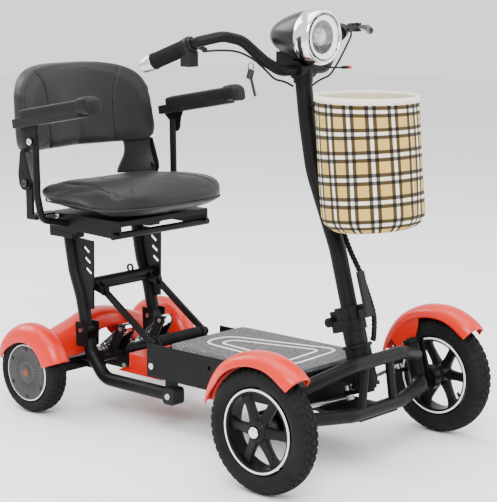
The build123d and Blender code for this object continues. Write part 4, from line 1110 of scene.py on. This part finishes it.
for side, sign in sides.items():
    outer, inner = sign * 0.203, sign * 0.198
    shape = [(-0.420, 0.594), (-0.408, 0.592), (-0.397, 0.562), (-0.388, 0.536), (-0.3865, 0.522),
             (-0.391, 0.512), (-0.402, 0.506), (-0.415, 0.507), (-0.425, 0.518), (-0.428, 0.542)]
    plate(f"{side}_back_plate", shape, min(outer, inner), max(outer, inner), powder_black, "backrest",
          0.0012)
    down, over = np.linspace(0, 1, 30)[:, None], np.linspace(0, 1, 24)[None, :]
    inner_edge = 0.118 + 0.020 * ease(down, 0.0, 0.50) - 0.018 * ease(down, 0.55, 1.0)
    leg_y = inner_edge + (0.1965 - inner_edge) * over
    leg = np.stack([-0.466 + WRAP * leg_y ** 2 + 0.020 * ease(down, 0.4, 1.0) * over ** 2, sign * leg_y,
                    0.632 - 0.122 * down + 0 * over], -1)
    make_piece(f"{side}_back_leg", leg, seat_leather, "backrest", thickness=0.010,
               outward=(-0.60, 0, 0.57), subdivide=1)
    head = [(sign * y, r) for y, r in ((0.0, 0.0), (0.0, 0.0085), (0.0030, 0.0085), (0.0042, 0.0074),
            (0.0046, 0.0040), (0.0030, 0.0036), (0.0030, 0.0))]
    make_piece(f"{side}_back_pivot_cap", turned(head, (-0.402, sign * 0.205, 0.523), "y", 28), dark_steel,
               "backrest", wrap=(True, False))
print("back made", len(points))

# %% [markdown]
# ## Armrests
# An armrest is a hard tray with a slim pad on it and a rounded knob at the front where the hand rests,
# on a black steel bracket that turns about a pin on the upright.  It slopes up to the front, so all of
# it is built level and then turned about that pin.

# %% Armrest pads and brackets
def tilted(points, across=2, along=0):
    """Turned 10 degrees about the pin at x -0.352, z 0.622, so that the front end rises."""
    points = np.array(points, float)
    c, s = math.cos(math.radians(10)), math.sin(math.radians(10))
    x, z = points[..., along] + 0.352, points[..., across] - 0.622
    points[..., along], points[..., across] = x * c - z * s - 0.352, x * s + z * c + 0.622
    return points


for side, sign in sides.items():
    grid = pillow_grid((-0.256, sign * 0.226, 0.6805), (0.1060, 0.0205, 0.0135), 0.16, 0.30, "z")
    narrower = 1 - 0.05 * ease(grid[..., 2], 0.683, 0.694)
    grid[..., 1] = sign * 0.226 + (grid[..., 1] - sign * 0.226) * narrower
    pad = make_piece(f"{side}_arm_pad", tilted(grid), pad_vinyl, f"{side}_armrest",
                     wrap=(False, True), subdivide=1, replaces=(f"{side}_armrest_pad",))
    tray = pillow_grid((-0.2775, sign * 0.226, 0.6655), (0.1110, 0.0192, 0.0108), 0.10, 0.14, "z")
    make_piece(f"{side}_arm_tray", tilted(tray), moulded_black, f"{side}_armrest",
               wrap=(False, True))
    knob = pillow_grid((-0.1525, sign * 0.226, 0.6795), (0.0235, 0.0218, 0.0185), 0.50, 0.52, "z")
    knob[..., 2] -= 0.006 * ease(knob[..., 0], -0.150, -0.130)
    make_piece(f"{side}_arm_knob", tilted(knob), pad_vinyl, f"{side}_armrest", wrap=(False, True),
               subdivide=1)
    a, b = sign * 0.2235, sign * 0.2275
    shape = [(-0.365, 0.618), (-0.359, 0.611), (-0.352, 0.609), (-0.345, 0.611), (-0.339, 0.618),
             (-0.332, 0.640), (-0.318, 0.661), (-0.390, 0.661), (-0.372, 0.640)]
    plate(f"{side}_arm_bracket", tilted(shape, across=1), min(a, b), max(a, b), powder_black,
          f"{side}_armrest", 0.001)
    make_piece(f"{side}_arm_pivot_cap", turned([(sign * y, r) for y, r in ((0.0, 0.0), (0.0, 0.0078),
               (0.0028, 0.0078), (0.0040, 0.0066), (0.0044, 0.0036), (0.0028, 0.0032), (0.0028, 0.0))],
               (-0.352, sign * 0.2305, 0.622), "y", 28), zinc, f"{side}_armrest", wrap=(True, False))
print("armrests made")

# %% [markdown]
# ## Lines on the foot deck
# Two white lines, one inside the other, mark where the feet go.  Each follows a four-cornered loop whose
# corners are rounded by averaging the loop over a short stretch, and it stands a hair above the grit.

# %% Deck lines
def rounded_loop(corners, count, window):
    """Evenly spaced points on a closed polygon, averaged over window neighbours."""
    corners = np.asarray(corners, float)
    closed = np.vstack([corners, corners[:1]])
    run = np.concatenate([[0], np.cumsum(np.linalg.norm(np.diff(closed, axis=0), axis=1))])
    s = np.linspace(0, run[-1], count, endpoint=False)
    loop = np.stack([np.interp(s, run, closed[:, k]) for k in range(2)], -1)
    kernel = np.ones(window) / window
    wide = np.vstack([loop[-window:], loop, loop[:window]])
    soft = np.stack([np.convolve(wide[:, k], kernel, "same") for k in range(2)], -1)
    return soft[window:-window]


deck_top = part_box("deck_board")[1].z
line_corners = {"outer": ([(0.000, -0.052), (0.000, 0.026), (0.264, 0.096), (0.276, -0.076)], 44),
                "inner": ([(0.034, -0.032), (0.034, 0.006), (0.236, 0.062), (0.246, -0.052)], 34)}
for name, (corners, window) in line_corners.items():
    loop = rounded_loop(corners, 480, window)
    way = np.roll(loop, -1, 0) - np.roll(loop, 1, 0)
    way /= np.linalg.norm(way, axis=1, keepdims=True)
    out = np.stack([way[:, 1], -way[:, 0]], -1)
    ring = [(-0.0033, -0.0002), (-0.0033, 0.0004), (0.0033, 0.0004), (0.0033, -0.0002)]
    grid = np.stack([np.concatenate([loop + w * out, np.full((len(loop), 1), deck_top + h)], 1)
                     for w, h in ring], 1)
    make_piece(f"deck_line_{name}", grid, ring_white, "chassis", wrap=(True, True))
print("deck lines made")

# %% [markdown]
# ## The brake lever
# The lever is a cast blade: round at its pivot, then flattened and broad at the square end where two
# fingers pull.  It is a tube carried along its line with a section that changes from round to flat.

# %% Brake lever blade
blade_line = smooth_line([(0.190, 0.232, 0.872), (0.190, 0.248, 0.872), (0.188, 0.266, 0.870),
                          (0.178, 0.288, 0.866), (0.166, 0.310, 0.862)], 60)
share = np.linspace(0, 1, 60)[:, None]
v = np.linspace(0, 2 * np.pi, 24, endpoint=False)[None, :]
tall = 0.0045 + 0.0055 * ease(share, 0.25, 0.9)
thin = 0.0042 - 0.0016 * ease(share, 0.2, 0.7)
section = 1 / np.sqrt((np.cos(v) / thin) ** 2 + (np.sin(v) / tall) ** 2)
blade = carried(blade_line, section, 24, side=(1, 0, 0))
bead = np.linspace(-np.pi / 2, np.pi / 2, 20)
ball = turned(np.stack([0.0085 * np.sin(bead), 0.0085 * np.cos(bead)], -1), blade_line[-1], "y", 28)
hub = turned([(-0.0045, 0.0031), (-0.0045, 0.0076), (-0.0038, 0.0082), (0.0038, 0.0082), (0.0045, 0.0076),
              (0.0045, 0.0031), (-0.0045, 0.0031)], (0.190, 0.232, 0.872), "z", 32)
make_piece("brake_blade", blade, dark_steel, "brake", wrap=(False, True), caps=True,
           replaces=("brake_lever",))
make_piece("brake_hub", hub, dark_steel, "brake", wrap=(True, False))
make_piece("brake_ball", ball, dark_steel, "brake", wrap=(True, False))
print("brake lever made")

# %% [markdown]
# ## Finishes on the frame's own pieces
# The other pieces keep their exact frame shape.  Their finish follows what the part is made of: welded
# steel gets powder coat, fasteners and axles get zinc, covers get moulded plastic.

# %% Finish each frame piece
frame_finishes = {
    powder_black: ("deck_tray", "head_tube", "front_subframe", "rear_frame", "swing_arm", "right_knuckle",
                   "left_knuckle", "steerer", "tiller_tube", "handlebar", "basket_hanger", "seat_posts",
                   "braces", "seat_base", "armrest_frames", "brake_perch"),
    zinc: ("frame_bolts", "rear_axle_shafts", "tie_rods", "seat_lever", "shock_rods"),
    chrome: ("right_axle_nut", "left_axle_nut", "shock_bodies"),
    moulded_black: ("throttle_housing", "throttle_lever", "latch_lever"),
    dark_steel: ("ignition_key",),
    battery_grey: ("battery_pack",),
    guard_red: ("controller_cover",),
    grip_foam: ("deck_handle",),
    deck_sheet: ("deck_board",),
    cable_black: ("throttle_cable", "brake_cable"),
    motor_black: ("rear_right_motor", "rear_left_motor"),
}
for material, names in frame_finishes.items():
    for name in names:
        nodes[name].data.materials.clear()
        nodes[name].data.materials.append(material)
done = {n for names in frame_finishes.values() for n in names}
left = sorted(n for n, o in nodes.items() if n not in done and not o.hide_render)
print("frame pieces left as they came:", left)

# %% [markdown]
# ## Room and light
# A pale floor under a pale sky keeps the black parts readable.  One broad soft lamp stands at the front
# right and above, a weaker one fills the far side, a third from behind draws the edges, and a wide one
# overhead puts a soft sheen on the tops of the cushions and lifts the floor.

# %% Floor, sky and lamps
floor_paint = finish("floor_paint", (0.90, 0.90, 0.90), (0.88, 0.88, 0.88), 2, (0.6, 0.7), scale=200,
                     depth=0.00005, strength=0.1)
floor_mesh = bpy.data.meshes.new("floor")
half, below = 9, -0.0005
corners = [(-half, -half, below), (half, -half, below), (half, half, below), (-half, half, below)]
floor_mesh.from_pydata(corners, [], [(0, 1, 2, 3)])
floor = bpy.data.objects.new("floor", floor_mesh)
floor_mesh.materials.append(floor_paint)
scene_collection.objects.link(floor)
sky = bpy.data.worlds.new("sky")
sky.use_nodes = True
sky.node_tree.nodes["Background"].inputs["Color"].default_value = (1.0, 1.0, 1.0, 1)
sky.node_tree.nodes["Background"].inputs["Strength"].default_value = 1.45
bpy.context.scene.world = sky
for name, place, size, power in (("key", (2.2, -2.6, 3.0), 1.8, 170), ("fill", (2.2, 3.0, 1.8), 2.6, 50),
                                 ("edge", (-2.8, -0.6, 2.6), 2.0, 90),
                                 ("ceiling", (0.2, 0.1, 3.6), 3.4, 150)):
    lamp_data = bpy.data.lights.new(name, "AREA")
    lamp_data.size, lamp_data.energy = size, power
    lamp_object = bpy.data.objects.new(name, lamp_data)
    lamp_object.location = place
    lamp_object.rotation_mode = "QUATERNION"
    lamp_object.rotation_quaternion = (Vector((0, 0, 0.45)) - Vector(place)).to_track_quat("-Z", "Y")
    scene_collection.objects.link(lamp_object)
print("room made")
